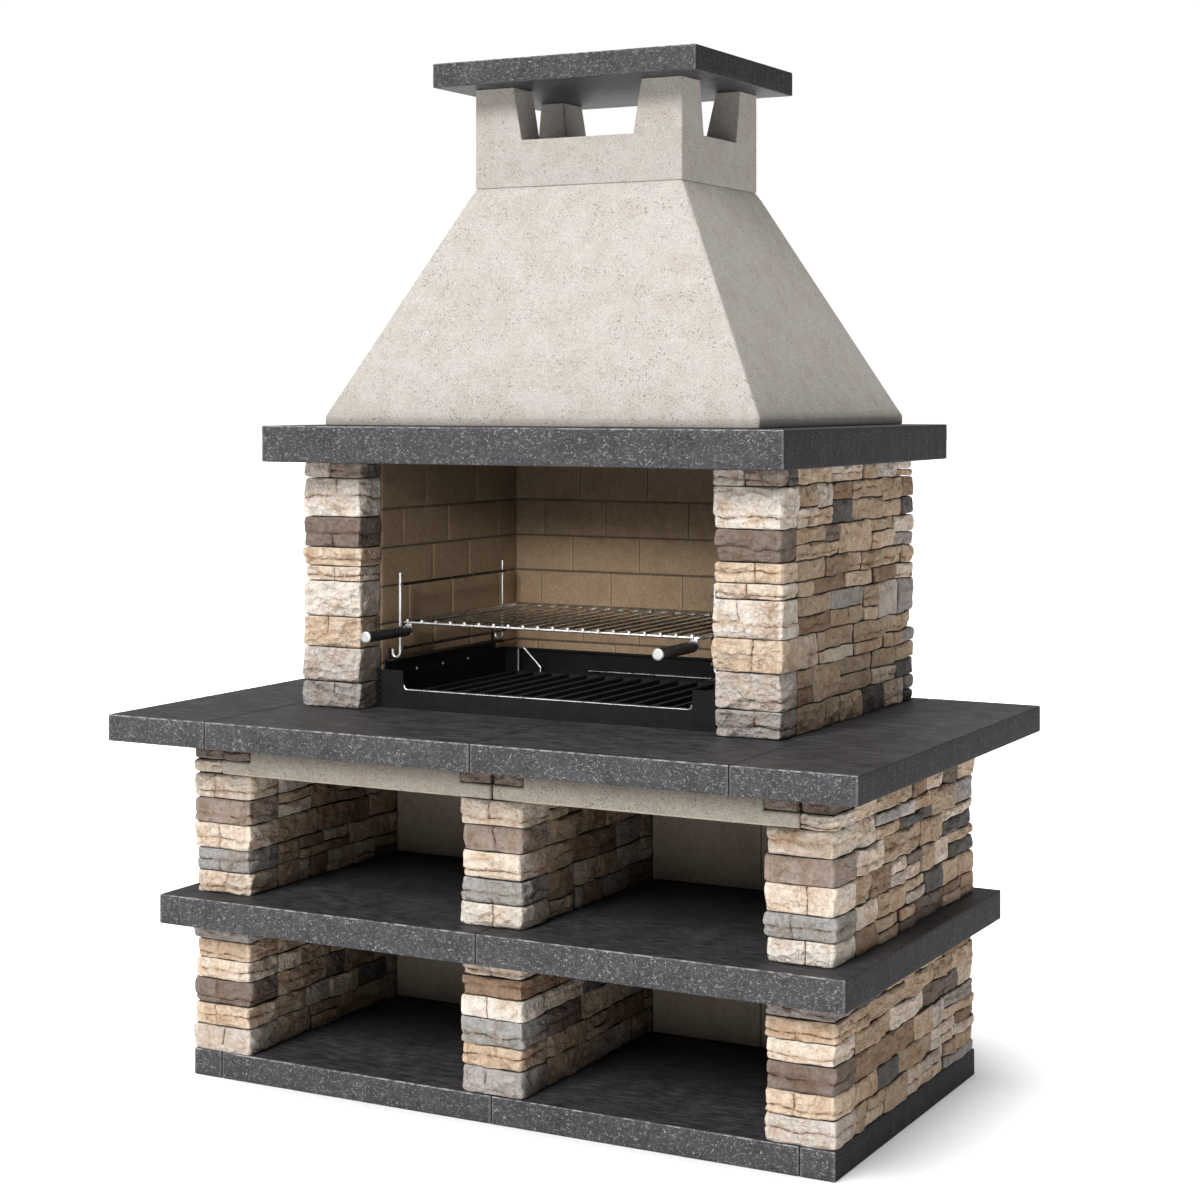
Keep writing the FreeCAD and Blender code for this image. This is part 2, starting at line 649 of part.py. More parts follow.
def bolt_places():
    """Where the rail bolts lie along a rail, and their height."""
    pitch = RACK_SPAN / (BOLTS_PER_RAIL + 1)
    height = TRAY_TOP - (RAIL_LEG - RAIL_RISE) / 2
    return [(RACK_FRONT + (i + 1) * pitch, height) for i in range(BOLTS_PER_RAIL)]


def bolt_neck(side, y, z, clearance):
    """The square neck of a bolt through the tray's side sheet and the rail's leg, or its hole."""
    half = BOLT_NECK / 2 + clearance
    x_range = mirrored(RAIL_OUTER - RAIL_SHEET, TRAY_HALF, side)
    return block(x_range, (y - half, y + half), (z - half, z + half))


def rack_posts(side):
    """Where a rack's two posts stand. The right rack stands further back, behind its pier."""
    stagger = RACK_STAGGER if side > 0 else 0.0
    return (RACK_FRONT + stagger, RACK_BACK + stagger)


def rack_rail(side):
    """An angle bolted inside the tray's side, with a flange for the rack to stand on and locating pins."""
    y_range = (TRAY_FRONT + TRAY_SHEET, rack_posts(side)[1] + RAIL_TAIL)
    leg = block(
        mirrored(RAIL_OUTER - RAIL_SHEET, RAIL_OUTER, side), y_range, (RAIL_TOP - RAIL_LEG, RAIL_TOP)
    )
    flange = block(mirrored(RAIL_INNER, RAIL_OUTER, side), y_range, (RAIL_TOP - RAIL_SHEET, RAIL_TOP))
    pin_x = side * (RAIL_OUTER - RAIL_PIN_DIA / 2)
    pins = [
        bar(RAIL_PIN_DIA, RAIL_PIN_HEIGHT + RAIL_SHEET, (pin_x, y, RAIL_TOP - RAIL_SHEET), Z_AXIS, X_AXIS)
        for y in rack_posts(side)
    ]
    holes = [bolt_neck(side, y, z, BOLT_CLEARANCE) for y, z in bolt_places()]
    return leg.fuse([flange, *pins]).cut(holes).removeSplitter()


def gap_guard(side):
    """A drilled strip on the tray's side that closes the gap between the tray and the wall."""
    x_range = mirrored(TRAY_HALF, CHAMBER_HALF - GUARD_GAP, side)
    y_start = TRAY_FRONT + ROLL_RADIUS
    strip = block(x_range, (y_start, y_start + TRAY_SHEET), (FIREBOX_BOTTOM, TRAY_TOP))
    pitch = TRAY_HEIGHT / (GUARD_HOLES + 1)
    holes = [
        bar(
            GUARD_HOLE_DIA,
            TRAY_SHEET,
            (sum(x_range) / 2, y_start, FIREBOX_BOTTOM + (i + 1) * pitch),
            Y_AXIS,
            X_AXIS,
        )
        for i in range(GUARD_HOLES)
    ]
    return strip.cut(holes)


def rail_bolts():
    """Coach bolts that hold the rails to the tray: a flat-sided head on a square neck."""
    made = []
    for side in SIDES.values():
        inner = side * (RAIL_OUTER - RAIL_SHEET)
        for y, z in bolt_places():
            head = bar(BOLT_HEAD_DIA, BOLT_HEAD_HEIGHT, (inner, y, z), X_AXIS * -side, Y_AXIS)
            made.append(head.fuse(bolt_neck(side, y, z, 0.0)))
    return made


def charcoal_grate():
    """Cast bars between a front and a back bar, standing on four legs in the tray."""
    heights = (GRATE_BAR_BOTTOM, GRATE_TOP)
    ends = [
        block((-GRATE_HALF, GRATE_HALF), (GRATE_FRONT, GRATE_FRONT + GRATE_END_BAR), heights),
        block((-GRATE_HALF, GRATE_HALF), (GRATE_BACK - GRATE_END_BAR, GRATE_BACK), heights),
    ]
    pitch = (2 * GRATE_HALF - GRATE_BAR_TOP) / (GRATE_BARS - 1)
    top, foot = GRATE_BAR_TOP / 2, GRATE_BAR_FOOT / 2
    bars = []
    for i in range(GRATE_BARS):
        middle = -GRATE_HALF + GRATE_BAR_TOP / 2 + i * pitch
        outline = [(-foot, heights[0]), (foot, heights[0]), (top, heights[1]), (-top, heights[1])]
        points = [FreeCAD.Vector(middle + x, GRATE_FRONT, z) for x, z in outline]
        face = Part.Face(Part.makePolygon([*points, points[0]]))
        bars.append(face.extrude(Y_AXIS * (GRATE_BACK - GRATE_FRONT)))
    leg_x = GRATE_HALF - GRATE_LEG_DIA
    legs = [
        bar(GRATE_LEG_DIA, GRATE_LEG_HEIGHT, (x, y, GRATE_BOTTOM), Z_AXIS, X_AXIS)
        for x in (-leg_x, leg_x)
        for y in (GRATE_FRONT + GRATE_END_BAR / 2, GRATE_BACK - GRATE_END_BAR / 2)
    ]
    return ends[0].fuse([ends[1], *bars, *legs]).removeSplitter()


def bend(before, corner, after, radius):
    """Points along the arc that rounds a corner of a wire, from one straight run to the next."""
    incoming = (corner - before).normalize()
    outgoing = (after - corner).normalize()
    turn = incoming.getAngle(outgoing)
    first = corner - incoming * (radius * math.tan(turn / 2))
    inward = (outgoing - incoming * math.cos(turn)) * (1 / math.sin(turn))
    centre = first + inward * radius
    points = []
    for chord in range(BEND_CHORDS + 1):
        angle = turn * chord / BEND_CHORDS
        points.append(centre + (incoming * math.sin(angle) - inward * math.cos(angle)) * radius)
    return points


def wire(points, diameter, radius, corner_axis):
    """A bent wire along straight runs joined by bends of one radius, with mitred chords."""
    vectors = [FreeCAD.Vector(*p) for p in points]
    path = [vectors[0]]
    for before, corner, after in zip(vectors, vectors[1:], vectors[2:]):
        path += bend(before, corner, after, radius)
    path.append(vectors[-1])
    start = (path[1] - path[0]).normalize()
    section = polygon(path[0], start, corner_axis, diameter)
    mitred = 1
    return Part.makePolygon(path).makePipeShell([section], True, False, mitred)


def grate_bail():
    """A bent wire bail that stands on the grate's back bar, near its left end."""
    y = GRATE_BACK - GRATE_END_BAR / 2
    left = -GRATE_HALF + GRATE_BAR_TOP
    top = GRATE_TOP + BAIL_HEIGHT
    points = [
        (left, y, GRATE_TOP),
        (left, y, top),
        (left + BAIL_SPAN / 4, y, top),
        (left + BAIL_SPAN, y, GRATE_TOP + 2 * BAIL_DIA),
        (left + BAIL_SPAN, y, GRATE_TOP),
    ]
    return wire(points, BAIL_DIA, BAIL_DIA, Y_AXIS)


def rack(side):
    """A welded wire rack: two posts whose feet curl outward on to the rail, joined by three grill rails."""
    curl_z = RAIL_TOP + RACK_CLEARANCE + RACK_POST_DIA / 2 + RACK_CURL_RADIUS
    top = FIREBOX_BOTTOM + RACK_TOP
    parts = []
    for y in rack_posts(side):
        points = [
            (side * RACK_POST_X, y, top),
            (side * RACK_POST_X, y, curl_z - RACK_CURL_RADIUS),
            (side * CURL_OUTER, y, curl_z - RACK_CURL_RADIUS),
            (side * CURL_OUTER, y, curl_z + RACK_CURL_TIP),
        ]
        parts.append(wire(points, RACK_POST_DIA, RACK_CURL_RADIUS, Y_AXIS))
    overrun = RACK_POST_DIA / 2
    for height in (RACK_LOWER_RAIL, RACK_GRILL_RAIL, RACK_UPPER_RAIL):
        start = (side * RACK_RAIL_X, rack_posts(side)[0] - overrun, FIREBOX_BOTTOM + height)
        parts.append(bar(RACK_RAIL_DIA, RACK_SPAN + 2 * overrun, start, Y_AXIS, X_AXIS))
    return parts[0].fuse(parts[1:])


def grill_frame():
    """The grill's outer wire, bent round at the corners and closed in the middle of its back."""
    x = GRILL_HALF - GRILL_FRAME_DIA / 2
    front = GRILL_FRONT + GRILL_FRAME_DIA / 2
    back = GRILL_FRONT + GRILL_DEPTH - GRILL_FRAME_DIA / 2
    outline = [(0, back), (x, back), (x, front), (-x, front), (-x, back), (0, back)]
    points = [(a, b, GRILL_Z) for a, b in outline]
    return wire(points, GRILL_FRAME_DIA, GRILL_CORNER_RADIUS, Y_AXIS)


def cooking_grill():
    """Bars welded across a bent wire frame, with a tab under each front corner for a handle."""
    lift = FLAT * (GRILL_FRAME_DIA + GRILL_BAR_DIA) / 2
    reach = GRILL_DEPTH + 2 * GRILL_BAR_NIB
    first = -(GRILL_HALF - GRILL_FRAME_DIA - GRILL_CORNER_RADIUS)
    pitch = -2 * first / (GRILL_BARS - 1)
    tabs = [handle_tab(side) for side in SIDES.values()]
    bars = []
    for i in range(GRILL_BARS):
        start = (first + i * pitch, GRILL_FRONT - GRILL_BAR_NIB, GRILL_Z + lift)
        bars.append(bar(GRILL_BAR_DIA, reach, start, Y_AXIS, X_AXIS))
    return [grill_frame(), *tabs, *bars]


def handle_tab(side):
    """A flat tab welded under the front bar, drilled for the handle's rod."""
    middle = side * HANDLE_X
    x_range = (middle - HANDLE_NUT_DIA / 2, middle + HANDLE_NUT_DIA / 2)
    y_range = (HANDLE_TAB_FRONT, HANDLE_TAB_FRONT + HANDLE_TAB_THICK)
    top = GRILL_Z - FLAT * GRILL_FRAME_DIA / 2
    plate = block(x_range, y_range, (top - HANDLE_TAB_HEIGHT, top))
    hole = bar(HANDLE_BORE_DIA, HANDLE_TAB_THICK, (middle, HANDLE_TAB_FRONT, HANDLE_Z), Y_AXIS, X_AXIS)
    return plate.cut(hole)


def handle_grip(side):
    """A round grip, hollow for its rod, standing forward of the tab."""
    start = (side * HANDLE_X, HANDLE_TAB_FRONT - HANDLE_LENGTH, HANDLE_Z)
    body = bar(HANDLE_DIA, HANDLE_LENGTH, start, Y_AXIS, X_AXIS, GRIP_SIDES)
    return body.cut(bar(HANDLE_BORE_DIA, HANDLE_LENGTH, start, Y_AXIS, X_AXIS))


def handle_cap(side):
    """A turned end cap with the rod that runs through the grip to the tab and its nut."""
    middle = side * HANDLE_X
    rod_start = HANDLE_TAB_FRONT - HANDLE_LENGTH
    front = rod_start - HANDLE_CAP_LENGTH
    disc = bar(HANDLE_CAP_DIA, HANDLE_CAP_LENGTH, (middle, front, HANDLE_Z), Y_AXIS, X_AXIS, GRIP_SIDES)
    disc = dressed(disc, HANDLE_CAP_EASE, [("y", front)])
    rod_length = HANDLE_LENGTH + HANDLE_TAB_THICK + HANDLE_NUT_LENGTH
    return disc.fuse(bar(HANDLE_ROD_DIA, rod_length, (middle, rod_start, HANDLE_Z), Y_AXIS, X_AXIS))


def handle_nuts():
    """A hexagon nut behind each tab."""
    back = HANDLE_TAB_FRONT + HANDLE_TAB_THICK
    made = []
    for side in SIDES.values():
        start = (side * HANDLE_X, back, HANDLE_Z)
        body = bar(HANDLE_NUT_DIA, HANDLE_NUT_LENGTH, start, Y_AXIS, X_AXIS)
        made.append(body.cut(bar(HANDLE_BORE_DIA, HANDLE_NUT_LENGTH, start, Y_AXIS, X_AXIS)))
    return made


def sub_parts():
    """Every node of the barbecue by name, each as a list of solids."""
    made = {**base_slabs(), **base_walls(), **firebox_walls(), **fire_bricks()}
    made["lower_back_blocks"] = back_blocks((LOWER_BOTTOM, SHELF_BOTTOM))
    made["upper_back_blocks"] = back_blocks((UPPER_BOTTOM, WORKTOP_BOTTOM))
    made["firebox_back_panel"] = [firebox_back_panel()]
    made["mantel"] = [mantel()]
    made["hood"] = [hood()]
    made["chimney_collar"] = [collar()]
    made["chimney_cap"] = [cap()]
    made["charcoal_tray"] = [charcoal_tray()]
    made["rail_bolts"] = rail_bolts()
    made["charcoal_grate"] = [charcoal_grate()]
    made["grate_bail"] = [grate_bail()]
    made["cooking_grill"] = cooking_grill()
    made["handle_nuts"] = handle_nuts()
    for name, side in SIDES.items():
        made[f"{name}_lintel"] = [lintel(side)]
        made[f"{name}_rack_rail"] = [rack_rail(side)]
        made[f"{name}_gap_guard"] = [gap_guard(side)]
        made[f"{name}_rack"] = [rack(side)]
        made[f"{name}_handle_grip"] = [handle_grip(side)]
        made[f"{name}_handle_cap"] = [handle_cap(side)]
    return made


def export(made):
    """One STEP file for each node, moved so that the origin lies under the middle of the barbecue."""
    os.makedirs("parts", exist_ok=True)
    for name, solids in made.items():
        shape = solids[0] if len(solids) == 1 else Part.makeCompound(solids)
        shape.translate(FreeCAD.Vector(0, -ORIGIN_Y, 0))
        shape.exportStep(f"parts/{name}.step")


export(sub_parts())
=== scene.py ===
"""Dresses the stone garden barbecue.

Walls of split stone, dark slabs, a cast hood, and the steel of the firebox.

Metres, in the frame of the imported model: X runs along the front, Y from front to back, Z up.
"""

import json
import logging
import math
from dataclasses import dataclass, field, replace
from enum import Enum
from functools import reduce
from itertools import product

import bmesh
import bpy
import numpy as np
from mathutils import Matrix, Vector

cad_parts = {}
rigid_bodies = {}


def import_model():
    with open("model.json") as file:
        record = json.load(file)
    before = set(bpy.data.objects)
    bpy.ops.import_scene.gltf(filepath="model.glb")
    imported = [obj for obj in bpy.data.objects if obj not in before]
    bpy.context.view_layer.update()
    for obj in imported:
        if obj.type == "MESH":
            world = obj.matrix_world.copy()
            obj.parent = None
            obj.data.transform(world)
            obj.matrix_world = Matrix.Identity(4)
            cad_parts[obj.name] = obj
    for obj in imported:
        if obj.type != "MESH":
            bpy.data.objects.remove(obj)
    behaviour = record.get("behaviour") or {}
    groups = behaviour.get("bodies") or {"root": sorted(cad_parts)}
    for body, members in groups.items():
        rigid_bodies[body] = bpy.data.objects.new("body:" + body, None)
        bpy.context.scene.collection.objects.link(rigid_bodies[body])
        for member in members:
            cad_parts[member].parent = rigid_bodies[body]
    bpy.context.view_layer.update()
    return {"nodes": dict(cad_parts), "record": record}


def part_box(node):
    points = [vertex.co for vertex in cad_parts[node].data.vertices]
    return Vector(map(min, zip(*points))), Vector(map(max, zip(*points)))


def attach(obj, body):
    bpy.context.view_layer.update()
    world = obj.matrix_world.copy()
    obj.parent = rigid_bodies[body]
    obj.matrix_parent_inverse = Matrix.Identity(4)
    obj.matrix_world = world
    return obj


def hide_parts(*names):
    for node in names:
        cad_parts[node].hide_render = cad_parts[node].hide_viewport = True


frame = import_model()
BODY_OF = {node: body for body, nodes in frame["record"]["behaviour"]["bodies"].items() for node in nodes}
LOG = logging.getLogger("barbecue")
Array = np.ndarray
Box = tuple[Array, Array]
Triple = tuple[float, float, float]
Piece = bpy.types.Object
Material = bpy.types.Material
Tree = bpy.types.NodeTree
Socket = bpy.types.NodeSocket
Value = float | tuple | Socket
MM = 0.001
# Two beds or joints nearer than this are one
TOUCH = 0.1 * MM
# What a white surface gives back in the light from the front
FRONT_LIGHT = 1.6


class Slot(Enum):
    """The record's material slots."""

    SLAB = "dark_slab"
    STONE = "split_stone"
    CAST = "pale_cast_stone"
    BLOCK = "concrete_block"
    BRICK = "fire_brick"
    STEEL = "black_steel"
    IRON = "cast_iron"
    CHROME = "chrome_wire"
    HARDWARE = "steel_hardware"
    GRIP = "black_grip"


class Side(Enum):
    """The upright faces of a block, by outward direction, in the order in which its outline runs."""

    FRONT = (0.0, -1.0)
    RIGHT = (1.0, 0.0)
    BACK = (0.0, 1.0)
    LEFT = (-1.0, 0.0)

    def outward(self, size: int = 2) -> Array:
        """Outward direction, in two or three numbers."""
        return np.array([*self.value, 0.0][:size])

    def along(self, size: int = 2) -> Array:
        """Direction in which the outline runs along the side."""
        return np.array([-self.value[1], self.value[0], 0.0][:size])


ALL_SIDES = frozenset(Side)


class Tone(Enum):
    """Colours of the stones as they look in full light, in sRGB from 0 to 255."""

    IVORY = (236, 226, 214)
    CREAM = (233, 218, 201)
    HONEY = (224, 203, 179)
    TAN = (210, 187, 162)
    KHAKI = (192, 171, 147)
    PINK_BROWN = (166, 150, 138)
    BROWN = (160, 136, 114)
    BROWN_GREY = (134, 120, 111)
    SLATE = (108, 105, 104)
    BLUE_GREY = (168, 166, 163)
    GREY = (178, 172, 168)
    LIGHT_GREY = (213, 202, 192)
    PLAIN = (255, 255, 255)

    def linear(self) -> Array:
        """Share of the light that the stone gives back, in linear light."""
        return linear_colour(self.value) / FRONT_LIGHT


def linear_colour(srgb: Triple) -> Array:
    """Linear light of an sRGB colour.

    Args:
        srgb: red, green and blue from 0 to 255.

    Returns:
        Three values from 0 to 1.
    """
    share = np.array(srgb, dtype=float) / 255.0
    return np.where(share <= 0.04045, share / 12.92, ((share + 0.055) / 1.055) ** 2.4)


def hashed(cells: Array, seed: int) -> Array:
    """Even values from 0 to 1, one for each whole-numbered cell.

    Args:
        cells: whole numbers, three to a row.
        seed: chooses the set of values.

    Returns:
        One value to a row.
    """
    mixed = cells @ np.array([374761393, 668265263, 2147483629]) + seed * 1274126177
    mixed = (mixed ^ (mixed >> 13)) * 1274126177
    return ((mixed ^ (mixed >> 16)) & 0xFFFFFF) / 0xFFFFFF


def wave(points: Array, size: float, seed: int, octaves: int = 3) -> Array:
    """Smooth uneven relief through space.

    Args:
        points: places, three numbers to a row.
        size: length of the largest waves.
        seed: chooses the relief.
        octaves: how many finer waves are added, each half as large and half as high.

    Returns:
        One value to a row, from about -1 to 1.
    """
    total = np.zeros(len(points))
    height = 0.5
    for octave in range(octaves):
        scaled = points / size * 2.0**octave
        cell = np.floor(scaled).astype(np.int64)
        part = scaled - cell
        part = part * part * (3.0 - 2.0 * part)
        value = np.zeros(len(points))
        for corner in product((0, 1), repeat=3):
            share = np.prod(np.where(np.array(corner) == 1, part, 1.0 - part), axis=1)
            value += share * hashed(cell + np.array(corner), seed + octave)
        total += height * (2.0 * value - 1.0)
        height *= 0.5
    return total


def scoops(points: Array, size: float, seed: int) -> Array:
    """Shallow hollows that meet in sharp ridges, like the marks of a chisel.

    Args:
        points: places, three numbers to a row.
        size: spacing of the hollows.
        seed: chooses their places.

    Returns:
        One value to a row, 0 in the middle of a hollow and about 0.5 on a ridge.
    """
    scaled = points / size
    cell = np.floor(scaled).astype(np.int64)
    nearest = np.full(len(points), 9.0)
    for offset in product((-1, 0, 1), repeat=3):
        home = cell + np.array(offset)
        middle = home + np.stack([hashed(home, seed + axis) for axis in range(3)], axis=1)
        nearest = np.minimum(nearest, ((scaled - middle) ** 2).sum(axis=1))
    return nearest


def smooth_step(low: float, high: float, value: Array) -> Array:
    """A soft step from 0 at low to 1 at high."""
    share = np.clip((value - low) / (high - low), 0.0, 1.0)
    return share * share * (3.0 - 2.0 * share)


def solid_points(node: str) -> list[Array]:
    """The solids of a CAD node, told apart by walking its faces until every edge has met its twin.

    Args:
        node: the node's name.

    Returns:
        The corner points of each solid.
    """
    mesh = frame["nodes"][node].data
    corners = [tuple(round(value, 6) for value in vertex.co) for vertex in mesh.vertices]
    found, current, unpaired = [], [], set()
    for polygon in mesh.polygons:
        ring = [corners[i] for i in polygon.vertices]
        current += ring
        for start, end in zip(ring, ring[1:] + ring[:1]):
            unpaired ^= {(min(start, end), max(start, end))}
        if not unpaired:
            found.append(np.array(current))
            current = []
    return found


def solid_boxes(node: str) -> list[Box]:
    """Lowest and highest corner of each solid of a CAD node."""
    return [(points.min(axis=0), points.max(axis=0)) for points in solid_points(node)]


def node_box(node: str) -> Box:
    """Lowest and highest corner of a CAD node as arrays."""
    low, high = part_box(node)
    return np.array(low, dtype=float), np.array(high, dtype=float)


def linked(name: str, data: bpy.types.ID) -> Piece:
    """A new object in the scene that holds the given data."""
    piece = bpy.data.objects.new(name, data)
    bpy.context.scene.collection.objects.link(piece)
    return piece


@dataclass(frozen=True)
class Spot:
    """Where a piece belongs.

    Fields:
        slot: the record's slot for its finish; not used.
        node: the CAD node that it stands for, or whose body it rides on.
        extra: whether it only comes beside the piece that stands for the node.
    """

    slot: Slot
    node: str
    extra: bool = False

    def fill(self, name: str, data: bpy.types.ID, material: Material) -> Piece:
        """Puts a piece on its body, in place of its node.

        Args:
            name: the piece's name.
            data: its mesh or curve.
            material: its finish.

        Returns:
            The piece.
        """
        data.materials.clear()
        data.materials.append(material)
        piece = linked(name, data)
        body = BODY_OF[self.node]
        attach(piece, body)
        if not self.extra:
            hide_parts(self.node)
        LOG.info("%s rides on %s for %s", name, body, "no node" if self.extra else self.node)
        return piece


@dataclass
class MeshStore:
    """Vertices, faces and per-vertex values of one piece while it is put together.

    VALUES names what each vertex carries, with its usual value: how near it lies to an arris and how deep in
    a joint, from 0 to 1, and its distance above the crack along the block and beyond the one up the block.
    """

    VALUES = {"edge": 0.0, "joint": 0.0, "ledge": 1.0, "split": 1.0}
    SWAY_FADE = 5.0
    SWAY_GAIN = 1.6

    points: list[Array] = field(default_factory=list)
    tones: list[Array] = field(default_factory=list)
    values: dict[str, list[Array]] = field(default_factory=dict)
    loops: list[Array] = field(default_factory=list)
    sizes: list[Array] = field(default_factory=list)
    smooth: list[Array] = field(default_factory=list)
    count: int = 0

    def add_points(self, points: Array, tone: Tone = Tone.PLAIN, **values: Array) -> int:
        """Adds vertices.

        Args:
            points: places, three numbers to a row.
            tone: their colour.
            values: one value to a row for any of VALUES.

        Returns:
            The index of the first one.
        """
        start = self.count
        self.points.append(points)
        self.tones.append(np.broadcast_to(tone.linear(), points.shape))
        for label, plain in self.VALUES.items():
            row = values.get(label, np.full(len(points), plain)).reshape(-1)
            self.values.setdefault(label, []).append(row)
        self.count += len(points)
        return start

    def add_faces(self, faces: Array, smooth: bool = True) -> None:
        """Adds faces of equal corner count.

        Args:
            faces: vertex indices, a face to a row.
            smooth: whether they are shaded as a round surface.
        """
        rows, corners = faces.shape
        self.loops.append(faces.reshape(-1))
        self.sizes.append(np.full(rows, corners))
        self.smooth.append(np.full(rows, smooth))

    def add_rings(self, start: int, rings: int, around: int, closed: bool = False) -> None:
        """Adds the quads between rings of vertices that lie one above another.

        Args:
            start: index of the first vertex of the first ring.
            rings: how many rings there are.
            around: vertices in a ring.
            closed: whether the last ring joins the first.
        """
        steps = rings if closed else rings - 1
        level, place = np.meshgrid(np.arange(steps), np.arange(around), indexing="ij")
        above = (level + 1) % rings
        after = (place + 1) % around
        corners = ((level, place), (level, after), (above, after), (above, place))
        quads = np.stack([ring * around + spot for ring, spot in corners], axis=-1)
        self.add_faces(start + quads.reshape(-1, 4))

    def add_caps(self, start: int, rings: int, around: int) -> None:
        """Closes the first and the last ring with a flat face each."""
        bottom = start + np.arange(around)[::-1]
        top = start + (rings - 1) * around + np.arange(around)
        self.add_faces(np.stack([bottom, top]), smooth=False)

    def add_turned(self, rings: list[Array]) -> None:
        """Adds a round piece, closed at its ends, from its rings in order."""
        first = self.add_points(np.concatenate(rings))
        self.add_rings(first, len(rings), len(rings[0]))
        self.add_caps(first, len(rings), len(rings[0]))

    def sway(self, low: Array, high: Array, reach: tuple[float, float], size: float, seed: int) -> None:
        """Shifts the vertices along Y and Z in slow waves, so that joints lean and beds run unevenly.

        Args:
            low: lowest corner of the whole piece, where the shift dies out.
            high: its highest corner.
            reach: greatest shift along Y and along Z.
            size: length of the waves.
            seed: chooses the waves.
        """
        for place, points in enumerate(self.points):
            flat = points * np.array([0.0, 1.0, 1.0])
            moved = points.copy()
            for axis, amount in zip((1, 2), reach):
                inside = np.minimum(points[:, axis] - low[axis], high[axis] - points[:, axis])
                fade = np.clip(inside / (self.SWAY_FADE * amount), 0.0, 1.0)
                moved[:, axis] += amount * fade * self.SWAY_GAIN * wave(flat, size, seed + axis, 2)
            self.points[place] = moved

    def install(self, name: str, material: Material, spot: Spot) -> Piece:
        """Makes the piece.

        Args:
            name: its name.
            material: its finish.
            spot: where it belongs.

        Returns:
            The piece.
        """
        mesh = bpy.data.meshes.new(name)
        loops = np.concatenate(self.loops)
        sizes = np.concatenate(self.sizes)
        mesh.vertices.add(self.count)
        mesh.vertices.foreach_set("co", np.concatenate(self.points).astype(np.float32).reshape(-1))
        mesh.loops.add(len(loops))
        mesh.loops.foreach_set("vertex_index", loops.astype(np.int32))
        mesh.polygons.add(len(sizes))
        starts = np.concatenate([[0], np.cumsum(sizes)[:-1]])
        mesh.polygons.foreach_set("loop_start", starts.astype(np.int32))
        mesh.polygons.foreach_set("use_smooth", np.concatenate(self.smooth))
        tone = mesh.color_attributes.new("tone", "FLOAT_COLOR", "POINT")
        colours = np.concatenate(self.tones)
        tone.data.foreach_set("color", np.c_[colours, np.ones(len(colours))].astype(np.float32).reshape(-1))
        for label, values in self.values.items():
            layer = mesh.attributes.new(label, "FLOAT", "POINT")
            layer.data.foreach_set("value", np.concatenate(values).astype(np.float32))
        mesh.update(calc_edges=True)
        mesh.validate()
        return spot.fill(name, mesh, material)


@dataclass(frozen=True)
class Work:
    """How a block is worked. Lengths are in metres, chances from 0 to 1."""

    step: float = 5 * MM
    arris: float = 9 * MM
    arris_rows: int = 3
    corner_round: float = 1.0
    wander: float = 0.3
    joint: float = 0.6 * MM
    bed: float = 0.0
    pillow: float = 4 * MM
    bulge: float = 0.0
    relief: float = 2.2 * MM
    relief_size: float = 38 * MM
    scoop: float = 0.0
    scoop_size: float = 26 * MM
    facets: int = 5
    facet_tilt: float = 0.22
    ledge_chance: float = 0.0
    split_chance: float = 0.0
    bed_wave: float = 0.0


CORNER_STONE = Work(
    step=3.2 * MM,
    arris=7 * MM,
    arris_rows=4,
    corner_round=0.8,
    joint=0.9 * MM,
    bed=0.6 * MM,
    pillow=4.0 * MM,
    bulge=5.5 * MM,
    relief=2.4 * MM,
    relief_size=30 * MM,
    scoop=8 * MM,
    scoop_size=34 * MM,
    ledge_chance=0.55,
    split_chance=0.7,
    bed_wave=1.8 * MM,
)
LEDGE_STONE = Work(
    step=4.0 * MM,
    arris=6 * MM,
    corner_round=1.6,
    joint=1.2 * MM,
    bed=0.8 * MM,
    pillow=3.4 * MM,
    bulge=5 * MM,
    relief=3.0 * MM,
    relief_size=34 * MM,
    scoop=7.5 * MM,
    scoop_size=29 * MM,
    facets=6,
    facet_tilt=0.24,
    ledge_chance=0.25,
    split_chance=0.4,
    bed_wave=2.4 * MM,
)
SAWN_SLAB = Work(
    step=12 * MM,
    arris=2.6 * MM,
    wander=0.5,
    joint=0.5 * MM,
    pillow=0.0,
    relief=0.25 * MM,
    relief_size=60 * MM,
    facets=0,
)
FIRE_BRICK = Work(
    step=14 * MM, arris=2.2 * MM, joint=0.5 * MM, bed=1.5 * MM, pillow=0.0, relief=0.3 * MM, facets=0
)
WALL_BLOCK = Work(step=20 * MM, arris=3 * MM, joint=0.8 * MM, pillow=0.0, relief=0.3 * MM, facets=0)
PLATE = Work(step=4 * MM, arris=1 * MM, wander=0.0, joint=0.0, pillow=0.0, relief=0.0, facets=0)


@dataclass
class Block:
    """A block before it is worked: its box, the sides that show, its colour and its flush sides."""

    low: Array
    high: Array
    open_sides: frozenset[Side]
    tone: Tone = Tone.PLAIN
    flush: frozenset[Side] = frozenset()


@dataclass
class Outline:
    """A block's outline seen from above, point by point.

    Fields:
        places: X and Y of each point.
        outward: the outward direction at each point.
        shown: 1 on open sides, 0 on hidden ones.
        corner: how near the point lies to an upright arris, from 0 to 1.
        run: distance along the outline.
    """

    places: Array
    outward: Array
    shown: Array
    corner: Array
    run: Array


